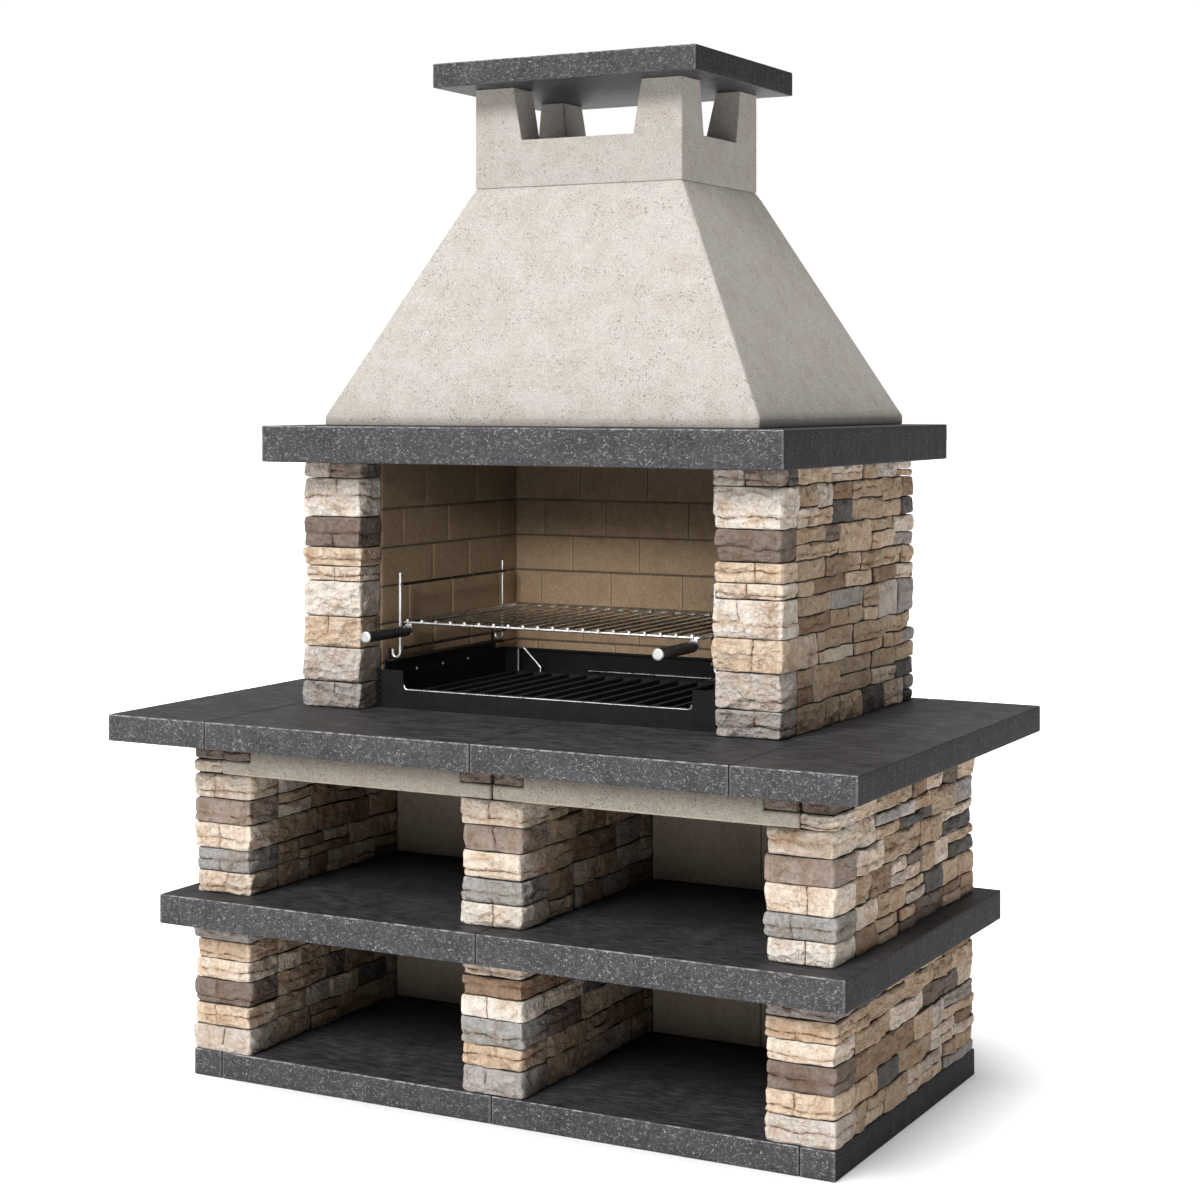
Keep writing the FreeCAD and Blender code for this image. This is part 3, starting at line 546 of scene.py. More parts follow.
class Mason:
    """Works blocks to shape: eases their arrises and gives their open faces a hewn relief."""

    ARC_POINTS = 2
    APART = 50.0
    CRACK_WOBBLE = 9 * MM
    LEAST_CRACKED = 26 * MM
    GROOVE_DEPTH = 2.4 * MM
    GROOVE_REACH = 3.0 * MM
    LEDGE_PLACE = (0.26, 0.56)
    SPLIT_PLACE = (0.34, 0.62)
    HALF_SPLIT = 0.5
    ALMOST = 0.999

    def __init__(self, work: Work, seed: int) -> None:
        """Sets the way of working and the seed of every choice."""
        self.work, self.seed = work, seed
        self.rng = np.random.default_rng(seed)

    def outline(self, block: Block, arris: float) -> Outline:
        """Runs round a block, closely along open sides and in one step along hidden ones.

        Args:
            block: the block.
            arris: radius of the upright arrises beside open sides.

        Returns:
            The outline.
        """
        gap = self.work.joint
        low = block.low[:2] + gap
        high = block.high[:2] - gap
        sides = list(Side)
        corners = [low, np.array([high[0], low[1]]), high, np.array([low[0], high[1]])]
        shown = [side in block.open_sides for side in sides]
        bend = self.work.corner_round
        radii = [arris * (bend if shown[i - 1] and shown[i] else 1.0) for i in range(4)]
        radii = [value if shown[i - 1] or shown[i] else 0.0 for i, value in enumerate(radii)]
        places, outward, weights, nearness = [], [], [], []
        for i, side in enumerate(sides):
            normal, along = side.outward(), side.along()
            ahead = (i + 1) % 4
            radius = radii[ahead]
            length = np.abs((corners[ahead] - corners[i]) @ along)
            first, last = radii[i], length - radius
            count = max(1, math.ceil((last - first) / self.work.step)) if shown[i] else 1
            steps = np.linspace(first, last, count + 1)
            for t in steps if radius > 0.0 else steps[:-1]:
                places.append(corners[i] + along * t)
                outward.append(normal)
                weights.append(float(shown[i]))
                nearest = min(t - first, last - t)
                nearness.append(max(0.0, 1.0 - nearest / (1.2 * arris)) if shown[i] else 0.0)
            if radius == 0.0:
                continue
            centre = corners[ahead] - along * radius - normal * radius
            for turn in np.linspace(0.0, math.pi / 2, self.ARC_POINTS + 2)[1:-1]:
                direction = normal * math.cos(turn) + along * math.sin(turn)
                places.append(centre + direction * radius)
                outward.append(direction)
                share = turn / (math.pi / 2)
                weights.append(shown[i] * (1 - share) + shown[ahead] * share)
                nearness.append(1.0)
        ring = np.array(places)
        steps = np.linalg.norm(np.roll(ring, -1, axis=0) - ring, axis=1)
        run = np.concatenate([[0.0], np.cumsum(steps)[:-1]])
        return Outline(ring, np.array(outward), np.array(weights), np.array(nearness), run)

    def levels(self, block: Block, arris: float) -> Box:
        """Heights of the rings of a block and how far each is drawn in by the eased beds.

        Args:
            block: the block.
            arris: radius of the eased beds.

        Returns:
            The heights and the insets.
        """
        bottom, top = block.low[2] + self.work.bed, block.high[2] - self.work.bed
        turns = np.linspace(0.0, math.pi / 2, self.work.arris_rows + 1)
        rise = arris * (1.0 - np.cos(turns))
        inset = arris * (1.0 - np.sin(turns))
        count = max(1, math.ceil((top - bottom - 2 * arris) / self.work.step))
        middle = np.linspace(bottom + arris, top - arris, count + 1)[1:-1]
        heights = np.concatenate([bottom + rise, middle, top - rise[::-1]])
        return heights, np.concatenate([inset, np.zeros(len(middle)), inset[::-1]])

    def cut_facets(self, block: Block, points: Array, shown: Array) -> Array:
        """Pares the open faces back to a few tilted planes that fall away towards the arrises.

        Args:
            block: the block.
            points: the vertices, a ring to a row.
            shown: 1 on open sides, 0 on hidden ones.

        Returns:
            The vertices after the cuts.
        """
        low, high = block.low, block.high
        middle = (low + high) / 2
        half = (high - low) / 2
        for side in sorted(block.open_sides, key=lambda s: s.name):
            normal, along = side.outward(3), side.along(3)
            for _ in range(self.work.facets):
                angle = self.rng.uniform(0.0, 2.0 * math.pi)
                reach = self.rng.uniform(0.35, 0.8)
                tilt = self.rng.uniform(0.3, 1.0) * self.work.facet_tilt
                lean = along * math.cos(angle) + np.array([0.0, 0.0, math.sin(angle)])
                spot = lean * (np.abs(along) @ half * np.abs(along) + half * np.array([0.0, 0.0, 1.0]))
                place = middle + normal * np.abs(half @ normal) + spot * reach
                plane = normal + lean * tilt
                plane /= np.linalg.norm(plane)
                excess = np.maximum(0.0, (points - place) @ plane - self.work.pillow * 0.5)
                points = points - (excess * shown)[..., None] * normal
        return points

    def crack(self, block: Block, points: Array, line: Outline) -> tuple[Array, Array, Array]:
        """Gives some blocks a wandering crack along their length and one up their widest open face.

        Args:
            block: the block.
            points: the vertices, a ring to a row.
            line: the block's outline.

        Returns:
            How far each vertex is pushed in, its height above the first crack, and its distance from the
            second.
        """
        shape = points.shape[:2]
        height = block.high[2] - block.low[2]
        flat = points.reshape(-1, 3) + self.rng.uniform(-self.APART, self.APART, 3)
        wobble = wave(flat, 40 * MM, self.seed + 71).reshape(shape) * self.CRACK_WOBBLE
        push = np.zeros(shape)
        ledge = np.full(shape, 1.0)
        split = np.full(shape, 1.0)
        level = block.low[2] + height * self.rng.uniform(*self.LEDGE_PLACE)
        layered = block.tone in (Tone.BROWN_GREY, Tone.BLUE_GREY)
        if (self.rng.random() < self.work.ledge_chance or layered) and height > self.LEAST_CRACKED:
            ledge = points[..., 2] + wobble - level
            push += self.rng.uniform(-2.0, 3.0) * MM * smooth_step(2 * MM, -2 * MM, ledge)
        shown = [side for side in Side if side in block.open_sides]
        widths = {side: np.ptp(line.run[self.along(line, side)]) for side in shown}
        if self.rng.random() < self.work.split_chance and widths:
            widest = max(widths, key=widths.get)
            run = line.run[self.along(line, widest)]
            place = np.ptp(run) * self.rng.uniform(*self.SPLIT_PLACE)
            split = line.run[None, :] + 1.2 * wobble - run.min() - place
            if self.rng.random() < self.HALF_SPLIT:
                above = self.rng.random() < 0.5
                split = np.where((points[..., 2] > level) == above, split, 1.0)
        groove = np.minimum(np.abs(ledge), np.abs(split))
        push += self.GROOVE_DEPTH * np.exp(-((groove / self.GROOVE_REACH) ** 2))
        return push * line.shown[None, :], ledge, split

    def along(self, line: Outline, side: Side) -> Array:
        """Which points of an outline lie on one side."""
        return line.outward @ side.outward() > self.ALMOST

    def dress(self, block: Block, store: MeshStore, caps: bool = True) -> None:
        """Works one block and adds it to a mesh.

        Args:
            block: the block.
            store: the mesh it goes into.
            caps: whether its beds are closed.
        """
        work = self.work
        extent = block.high - block.low
        arris = min(work.arris * self.rng.uniform(0.85, 1.15), 0.3 * extent.min())
        line = self.outline(block, arris)
        heights, inset = self.levels(block, arris)
        rings, around = len(heights), len(line.run)
        shape = (rings, around)
        shift = self.rng.uniform(-self.APART, self.APART, 3)
        points = np.empty((rings, around, 3))
        points[..., :2] = line.places[None]
        points[..., 2] = heights[:, None]
        outward = np.concatenate([line.outward, np.zeros((around, 1))], axis=1)[None]
        seen = points.reshape(-1, 3) + shift
        worn = 1.0 + work.wander * wave(seen, 30 * MM, self.seed + 5, 2).reshape(shape)
        drawn = np.minimum(inset[:, None] * worn, 0.95 * arris) * line.shown[None]
        rise = (heights - block.low[2]) / extent[2]
        swell = (1.0 - np.abs(2.0 * rise - 1.0) ** 2.2)[:, None] - 0.5 - 0.5 * line.corner[None] ** 2
        points -= outward * drawn[..., None]
        points += outward * ((work.pillow * swell + work.bulge) * line.shown[None])[..., None]
        if work.facets:
            points = self.cut_facets(block, points, np.broadcast_to(line.shown, shape))
        relief = wave(seen, work.relief_size, self.seed + 11, 4).reshape(shape) * work.relief
        if work.scoop:
            hollows = scoops(seen * np.array([0.75, 0.75, 1.15]), work.scoop_size, self.seed + 23)
            relief += work.scoop * (hollows.reshape(shape) - 0.3)
        points += outward * (relief * (line.shown * (1.0 - 0.5 * line.corner))[None])[..., None]
        ledge = split = np.full(shape, 1.0)
        if work.ledge_chance or work.split_chance:
            push, ledge, split = self.crack(block, points, line)
            points -= outward * push[..., None]
        bed = np.maximum(0.0, 1.0 - np.minimum(heights - heights[0], heights[-1] - heights) / (1.3 * arris))
        if work.bed_wave:
            lift = wave(seen, 45 * MM, self.seed + 17, 2).reshape(shape) * work.bed_wave
            points[..., 2] += lift * line.shown[None] * (1.0 - (bed[:, None] >= self.ALMOST))
        for side in block.flush:
            direction = side.outward(3)
            beyond = np.maximum(0.0, points @ direction - max(block.low @ direction, block.high @ direction))
            points -= beyond[..., None] * direction
        edge = np.maximum(bed[:, None], line.corner[None]) * line.shown[None]
        joint = np.maximum(np.broadcast_to(inset[:, None] / arris, shape), 1.0 - line.shown[None])
        values = {"edge": edge, "joint": joint, "ledge": ledge, "split": split}
        start = store.add_points(points.reshape(-1, 3), block.tone, **values)
        store.add_rings(start, rings, around)
        if caps:
            store.add_caps(start, rings, around)


class Graph:
    """Places nodes in a material or a group and links them."""

    def __init__(self, tree: Tree) -> None:
        """Takes the node tree to work in."""
        self.tree = tree

    def add(
        self, kind: str, inputs: dict[str | int, Value] | None = None, **settings: object
    ) -> bpy.types.bpy_prop_collection:
        """Adds a node.

        Args:
            kind: the node's type name after ShaderNode.
            inputs: values or sockets for its inputs, by name or place.
            settings: properties of the node.

        Returns:
            The node's outputs.
        """
        node = self.tree.nodes.new(f"ShaderNode{kind}")
        for name, setting in settings.items():
            setattr(node, name, setting)
        self.fill(node.inputs, inputs or {})
        return node.outputs

    def fill(self, sockets: bpy.types.bpy_prop_collection, values: dict[str | int, Value]) -> None:
        """Feeds several inputs: a socket is linked to its input, a plain value is set on it.

        Args:
            sockets: the inputs of a node.
            values: what each gets, by name or place.
        """
        for name, value in values.items():
            if isinstance(value, Socket):
                self.tree.links.new(value, sockets[name])
            else:
                sockets[name].default_value = value

    def math(self, operation: str, first: Value, second: Value = 0.0) -> Socket:
        """The result of a sum on one or two values."""
        return self.add("Math", {0: first, 1: second}, operation=operation)[0]

    def plus(self, first: Value, second: Value) -> Socket:
        """The sum of two values."""
        return self.math("ADD", first, second)

    def minus(self, first: Value, second: Value) -> Socket:
        """The difference of two values."""
        return self.math("SUBTRACT", first, second)

    def times(self, first: Value, second: Value) -> Socket:
        """The product of two values."""
        return self.math("MULTIPLY", first, second)

    def total(self, *shares: tuple[Socket, float]) -> Socket:
        """The sum of several values, each times its weight."""
        return reduce(self.plus, [self.times(value, weight) for value, weight in shares])

    def mix(self, share: Value, first: Value, second: Value, blend: str = "MIX") -> Socket:
        """A colour between two others: the first at a share of 0, the second at 1."""
        inputs = {0: share, 6: first, 7: second}
        return self.add("Mix", inputs, data_type="RGBA", blend_type=blend)[2]

    def stained(self, colour: Socket, share: Value, darkening: Triple) -> Socket:
        """A colour stained: multiplied by a darker sRGB colour as far as a mask says."""
        return self.mix(share, colour, tint(darkening), "MULTIPLY")

    def spread(
        self, value: Value, low: float, high: float, to_low: float = 0.0, to_high: float = 1.0
    ) -> Socket:
        """A value's range spread over another one, held at its ends."""
        inputs = {"Value": value, "From Min": low, "From Max": high, "To Min": to_low, "To Max": to_high}
        return self.add("MapRange", inputs, interpolation_type="SMOOTHSTEP")[0]

    def noise(self, vector: Socket, scale: Value, detail: float = 3.0, **inputs: Value) -> Socket:
        """A noise value from about 0 to 1, with scale waves to a metre and detail octaves."""
        values = {"Vector": vector, "Scale": scale, "Detail": detail, **self.named(inputs)}
        return self.add("TexNoise", values)["Fac"]

    @staticmethod
    def named(inputs: dict[str, Value]) -> dict[str, Value]:
        """Values under the names of their sockets, which start with a capital."""
        return {name.capitalize(): value for name, value in inputs.items()}

    def jitter(self, vector: Socket, scale: float, reach: float, detail: float = 2.0) -> Socket:
        """A push that changes its direction and size in a noise of this scale."""
        noise = self.add("TexNoise", {"Vector": vector, "Scale": scale, "Detail": detail})
        return self.scaled(noise["Color"], reach)

    def moved(self, vector: Socket, push: Socket) -> Socket:
        """A place after a push."""
        return self.add("VectorMath", {0: vector, 1: push}, operation="ADD")[0]

    def scaled(self, vector: Socket, share: Value) -> Socket:
        """A place or a colour times one value."""
        return self.add("VectorMath", {0: vector, "Scale": share}, operation="SCALE")[0]

    def stretched(self, vector: Socket, scale: Triple) -> Socket:
        """A place scaled along each axis by its own value."""
        return self.add("VectorMath", {0: vector, 1: scale}, operation="MULTIPLY")[0]

    def attribute(self, name: str, output: str = "Fac") -> Socket:
        """A value that the mesh carries."""
        return self.add("Attribute", attribute_name=name)[output]

    def effect(self, tree: Tree, vector: Socket, **inputs: Value) -> Socket:
        """The result of a shared effect, with its own values by lower-case name."""
        return self.add("Group", {"Vector": vector, **self.named(inputs)}, node_tree=tree)[0]

    def bump(self, height: Socket, depth: float) -> Socket:
        """The normal of a surface with a height from 0 to 1, which is depth metres deep."""
        return self.add("Bump", {"Height": height, "Distance": depth, "Strength": 1.0})["Normal"]


class EffectMaker:
    """Builds one shared effect as a node group with named sockets."""

    def __init__(self, name: str, result: str, **inputs: Value) -> None:
        """Starts the group.

        Args:
            name: the group's name.
            result: the name of its output, which is Colour for a colour.
            inputs: first value of each input after Vector, with four numbers for a colour.
        """
        self.tree = bpy.data.node_groups.new(name, "ShaderNodeTree")
        self.add_socket("Vector", "INPUT", "Vector")
        for label, value in inputs.items():
            kind = "Color" if isinstance(value, tuple) else "Float"
            self.add_socket(label.capitalize(), "INPUT", kind).default_value = value
        self.add_socket(result, "OUTPUT", "Color" if result == "Colour" else "Float")
        self.graph = Graph(self.tree)
        self.given = list(self.tree.nodes.new("NodeGroupInput").outputs)[: len(inputs) + 1]

    def add_socket(self, label: str, way: str, kind: str) -> bpy.types.NodeTreeInterfaceSocket:
        """Adds an input or an output to the group."""
        return self.tree.interface.new_socket(label, in_out=way, socket_type=f"NodeSocket{kind}")

    def close(self, result: Socket) -> Tree:
        """Links the result to the output and returns the group."""
        self.tree.links.new(result, self.tree.nodes.new("NodeGroupOutput").inputs[0])
        return self.tree


MID_GREY = (0.5, 0.5, 0.5, 1.0)


def mottle_group() -> Tree:
    """Cloudy colour: patches of a second colour, and light and dark in two sizes."""
    colours = {"colour": MID_GREY, "patch": MID_GREY}
    made = EffectMaker("mottle", "Colour", **colours, scale=20.0, cover=0.4, contrast=0.2)
    graph, (place, colour, patch, scale, cover, contrast) = made.graph, made.given
    patches = graph.noise(place, scale, 4.0, roughness=0.62)
    clouds = graph.mix(graph.times(graph.spread(patches, 0.42, 0.68), cover), colour, patch)
    fine = graph.noise(place, graph.times(scale, 4.7), 6.0, roughness=0.7)
    swing = graph.times(graph.spread(fine, 0.25, 0.75, -1.0, 1.0), contrast)
    return made.close(graph.scaled(clouds, graph.plus(swing, 1.0)))


def specks_group() -> Tree:
    """Scattered specks of uneven size."""
    made = EffectMaker("specks", "Mask", scale=200.0, cover=0.3, size=0.3)
    graph, (place, scale, cover, size) = made.graph, made.given
    moved = graph.moved(place, graph.jitter(place, 140.0, 0.006))
    cells = graph.add("TexVoronoi", {"Vector": moved, "Scale": scale})
    draw = graph.add("SeparateColor", {0: cells["Color"]})
    chosen = graph.math("LESS_THAN", draw[0], cover)
    radius = graph.times(graph.plus(draw[1], 0.25), size)
    dot = graph.spread(graph.minus(radius, cells["Distance"]), -0.02, 0.1)
    return made.close(graph.times(chosen, dot))


def grain_group() -> Tree:
    """The height of a fine broken surface."""
    made = EffectMaker("grain", "Height", scale=120.0, crumble=0.4)
    graph, (place, scale, crumble) = made.graph, made.given
    waves = graph.noise(place, scale, 7.0, roughness=0.65, distortion=0.6)
    cells = graph.add("TexVoronoi", {"Vector": place, "Scale": graph.times(scale, 1.6)})
    return made.close(graph.plus(waves, graph.times(cells["Distance"], crumble)))


def worn_edge_group() -> Tree:
    """A broken mask along arrises."""
    made = EffectMaker("worn_edge", "Mask", edge=0.0, scale=60.0, reach=0.5)
    graph, (place, edge, scale, reach) = made.graph, made.given
    breaks = graph.noise(place, scale, 5.0, roughness=0.7)
    level = graph.plus(edge, graph.times(graph.minus(breaks, 0.5), 0.9))
    return made.close(graph.spread(graph.minus(level, graph.minus(1.0, reach)), 0.0, 0.4))


def veins_group() -> Tree:
    """Fine wandering lines that come and go."""
    made = EffectMaker("veins", "Mask", scale=20.0, width=0.04, cover=0.5)
    graph, (place, scale, width, cover) = made.graph, made.given
    moved = graph.moved(place, graph.jitter(place, 34.0, 0.05, 4.0))
    inputs = {"Vector": graph.stretched(moved, (1.0, 1.0, 1.8)), "Scale": scale}
    cells = graph.add("TexVoronoi", inputs, feature="DISTANCE_TO_EDGE")
    line = graph.minus(1.0, graph.math("DIVIDE", cells["Distance"], width))
    here = graph.minus(cover, graph.noise(place, 17.0, 2.0))
    return made.close(graph.times(graph.spread(line, 0.0, 0.7), graph.spread(here, -0.06, 0.08)))


class Effects:
    """The shared node groups, each built once."""

    def __init__(self) -> None:
        """Builds them."""
        self.mottle = mottle_group()
        self.specks = specks_group()
        self.grain = grain_group()
        self.worn_edge = worn_edge_group()
        self.veins = veins_group()


def opaque(colour: Triple) -> tuple[float, float, float, float]:
    """What a surface gives back that has this sRGB colour in the front light, with full alpha."""
    return (*(float(value) / FRONT_LIGHT for value in linear_colour(colour)), 1.0)


def tint(colour: Triple) -> tuple[float, float, float, float]:
    """A linear colour with full alpha, from an sRGB one, to multiply another colour by or for bare metal."""
    return (*(float(value) for value in linear_colour(colour)), 1.0)


@dataclass(frozen=True)
class Finish:
    """What every finish shares: a name, the shared effects and a Principled shader."""

    name: str
    effects: Effects

    def build(self) -> Material:
        """Makes the material."""
        material = bpy.data.materials.new(self.name)
        material.use_nodes = True
        graph = Graph(material.node_tree)
        place = graph.add("TexCoord")["Object"]
        graph.fill(material.node_tree.nodes["Principled BSDF"].inputs, self.paint(graph, place))
        return material

    def paint(self, graph: Graph, place: Socket) -> dict[str, Value]:
        """Places the finish's nodes.

        Args:
            graph: the material's graph.
            place: the place in the object.

        Returns:
            What each of the shader's inputs gets, by name.
        """
        raise NotImplementedError


@dataclass(frozen=True)
class SplitStone(Finish):
    """Hewn stone with the mesh's own colours, paler at worn arrises, dark in its cracks, and with painted
    shade in its joints.
    """

    def paint(self, graph: Graph, place: Socket) -> dict[str, Value]:
        """Stains the stone's tone with veins, pits and rust, and chips its face. See Finish.paint."""
        effects = self.effects
        tone = graph.attribute("tone", "Color")
        own = graph.moved(place, graph.scaled(tone, 9.0))
        warm = graph.stained(tone, 1.0, (228, 204, 178))
        cloudy = {"scale": 24.0, "cover": 0.6, "contrast": 0.22}
        colour = graph.effect(effects.mottle, own, colour=tone, patch=warm, **cloudy)
        veins = graph.effect(effects.veins, own, scale=22.0, width=0.035, cover=0.46)
        pits = graph.effect(effects.specks, own, scale=170.0, cover=0.2, size=0.3)
        rust = graph.spread(graph.noise(own, 15.0, 4.0, roughness=0.6), 0.52, 0.72, 0.0, 0.5)
        colour = graph.stained(colour, graph.times(veins, 0.3), (168, 128, 96))
        colour = graph.stained(colour, graph.times(pits, 0.36), (110, 84, 64))
        colour = graph.stained(colour, rust, (196, 162, 132))
        edge = graph.effect(effects.worn_edge, own, edge=graph.attribute("edge"), scale=70.0, reach=0.4)
        colour = graph.mix(graph.times(edge, 0.55), colour, graph.scaled(tone, 1.2))
        ledge, split = (graph.math("ABSOLUTE", graph.attribute(label)) for label in ("ledge", "split"))
        wobble = graph.times(graph.minus(graph.noise(own, 130.0), 0.5), 5.0 * MM)
        distance = graph.plus(graph.math("MINIMUM", ledge, split), wobble)
        broken = graph.spread(graph.noise(own, 26.0, 2.0), 0.42, 0.56)
        crack = graph.times(graph.spread(distance, 0.1 * MM, 1.3 * MM, 1.0, 0.0), broken)
        colour = graph.stained(colour, graph.spread(distance, 0.0, 7.0 * MM, 0.34, 0.0), (200, 164, 128))
        colour = graph.stained(colour, graph.times(crack, 0.8), (116, 90, 70))
        # Painted shade: the eased arrises along the joints between stones are darkened, as if the gaps
        # shaded them
        joint = graph.spread(graph.attribute("joint"), 0.5, 1.0)
        colour = graph.mix(graph.times(joint, 0.85), colour, opaque((46, 38, 31)))
        grain = graph.effect(effects.grain, own, scale=130.0, crumble=0.35)
        flat = graph.stretched(own, (1.0, 1.0, 1.7))
        ripples = graph.noise(flat, 30.0, 5.0, roughness=0.55, distortion=1.4)
        ridges = graph.math("ABSOLUTE", graph.minus(graph.noise(flat, 42.0, distortion=0.8), 0.5))
        bowed = graph.moved(flat, graph.jitter(own, 40.0, 0.016))
        chips = graph.add("TexVoronoi", {"Vector": bowed, "Scale": 48.0})["Distance"]
        waves = {"Vector": own, "Scale": 38.0, "Distortion": 14.0, "Detail": 2.0, "Detail Scale": 1.2}
        marks = graph.add("TexWave", waves)["Fac"]
        height = graph.total(
            (grain, 0.9),
            (ripples, 4.0),
            (graph.times(chips, chips), 5.0),
            (ridges, -3.5),
            (marks, 0.7),
            (crack, -2.4),
            (veins, -1.2),
            (pits, -0.8),
        )
        normal = graph.bump(height, MM)
        return {"Base Color": colour, "Roughness": 0.9, "Specular IOR Level": 0.2, "Normal": normal}


@dataclass(frozen=True)
class DarkSlab(Finish):
    """Charcoal stone: flecked and rough on its front and back, finely tooled on its ends and darkened there
    as painted shade, honed on top, with a painted highlight along its top arrises.

    Fields:
        front: colour of the front and the back, in sRGB.
        end: colour of the ends, darker than the front as painted shade.
        top: colour of the top.
        leanings: how the strokes lean on the front.
    """

    front: Triple = (77, 76, 79)
    end: Triple = (33, 32, 34)
    top: Triple = (61, 60, 62)
    leanings: tuple[float, ...] = (0.5, -0.8, 1.5)

    def strokes(self, graph: Graph, place: Socket) -> tuple[Socket, Socket]:
        """Short pale strokes and dark cuts, leaning several ways.

        Args:
            graph: the material's graph.
            place: the place in the object.

        Returns:
            The mask of the strokes and that of the cuts.
        """
        curled = graph.moved(place, graph.jitter(place, 80.0, 0.008))
        strokes, cuts = 0.0, 0.0
        for leaning in self.leanings:
            inputs = {"Vector": curled, "Rotation": (0.0, leaning, 0.0), "Scale": (1.0, 1.0, 4.5)}
            lines = graph.noise(graph.add("Mapping", inputs, vector_type="TEXTURE")[0], 440.0, 1.0)
            strokes = graph.math("MAXIMUM", strokes, graph.spread(lines, 0.64, 0.74))
            cuts = graph.math("MAXIMUM", cuts, graph.spread(lines, 0.3, 0.4, 1.0, 0.0))
        return strokes, cuts

    def paint(self, graph: Graph, place: Socket) -> dict[str, Value]:
        """Gives front, ends and top their own colours and marks, with painted shade on the ends, and a
        painted highlight along the top arrises. See Finish.paint.
        """
        effects = self.effects
        facing = graph.add("SeparateXYZ", {0: graph.add("NewGeometry")["Normal"]})
        across, along, upward = (graph.math("ABSOLUTE", facing[axis]) for axis in range(3))
        ends, fronts, tops = (graph.spread(value, 0.55, 0.85) for value in (across, along, upward))
        # Painted shade: the ends take a darker colour than the front, as faces turned from the light
        base = graph.mix(ends, opaque(self.front), opaque(self.end))
        base = graph.mix(tops, base, opaque(self.top))
        darker = graph.stained(base, 1.0, (196, 195, 197))
        cloudy = {"scale": 14.0, "cover": 0.6, "contrast": 0.22}
        colour = graph.effect(effects.mottle, place, colour=base, patch=darker, **cloudy)
        strokes, cuts = self.strokes(graph, place)
        dots = graph.effect(effects.specks, place, scale=190.0, cover=0.1, size=0.3)
        flecks = graph.math("MAXIMUM", dots, graph.times(strokes, 0.95))
        scatter = graph.spread(graph.noise(place, 30.0), 0.3, 0.65, 0.5, 1.0)
        amount = graph.total((fronts, 0.52), (ends, 0.2), (tops, 0.12))
        colour = graph.stained(colour, graph.times(cuts, amount), (140, 139, 142))
        shown = graph.times(graph.times(flecks, scatter), amount)
        colour = graph.mix(shown, colour, opaque((204, 202, 203)))
        drawn = graph.noise(graph.stretched(place, (0.17, 1.0, 1.0)), 150.0, 4.0)
        tooled = graph.noise(graph.stretched(place, (1.0, 1.0, 0.09)), 260.0)
        top_streak = graph.times(graph.spread(drawn, 0.36, 0.68, -0.4, 0.75), tops)
        end_streak = graph.times(graph.spread(tooled, 0.35, 0.7, -0.35, 0.5), ends)
        colour = graph.scaled(colour, graph.plus(graph.plus(top_streak, end_streak), 1.0))
        edge = graph.effect(effects.worn_edge, place, edge=graph.attribute("edge"), scale=45.0, reach=0.3)
        rubbed = graph.times(graph.times(edge, along), 0.25)
        colour = graph.mix(rubbed, colour, opaque((168, 166, 166)))
        # Painted highlight: a broken pale line along the top front and back arrises, where light catches
        # them
        highlight_breaks = graph.spread(graph.noise(place, 70.0, 4.0), 0.4, 0.62, 0.12, 0.75)
        arris = graph.times(graph.spread(graph.times(along, facing[2]), 0.12, 0.4), highlight_breaks)
        colour = graph.mix(arris, colour, opaque((186, 184, 185)))
        grain = graph.effect(effects.grain, place, scale=210.0, crumble=0.6)
        height = graph.times(grain, graph.plus(graph.times(fronts, 0.8), 0.2))
        height = graph.plus(height, graph.times(flecks, 0.12))
        return {
            "Base Color": colour,
            "Roughness": graph.minus(0.72, graph.times(tops, 0.17)),
            "Specular IOR Level": 0.2,
            "Normal": graph.bump(height, 1.2 * MM),
        }


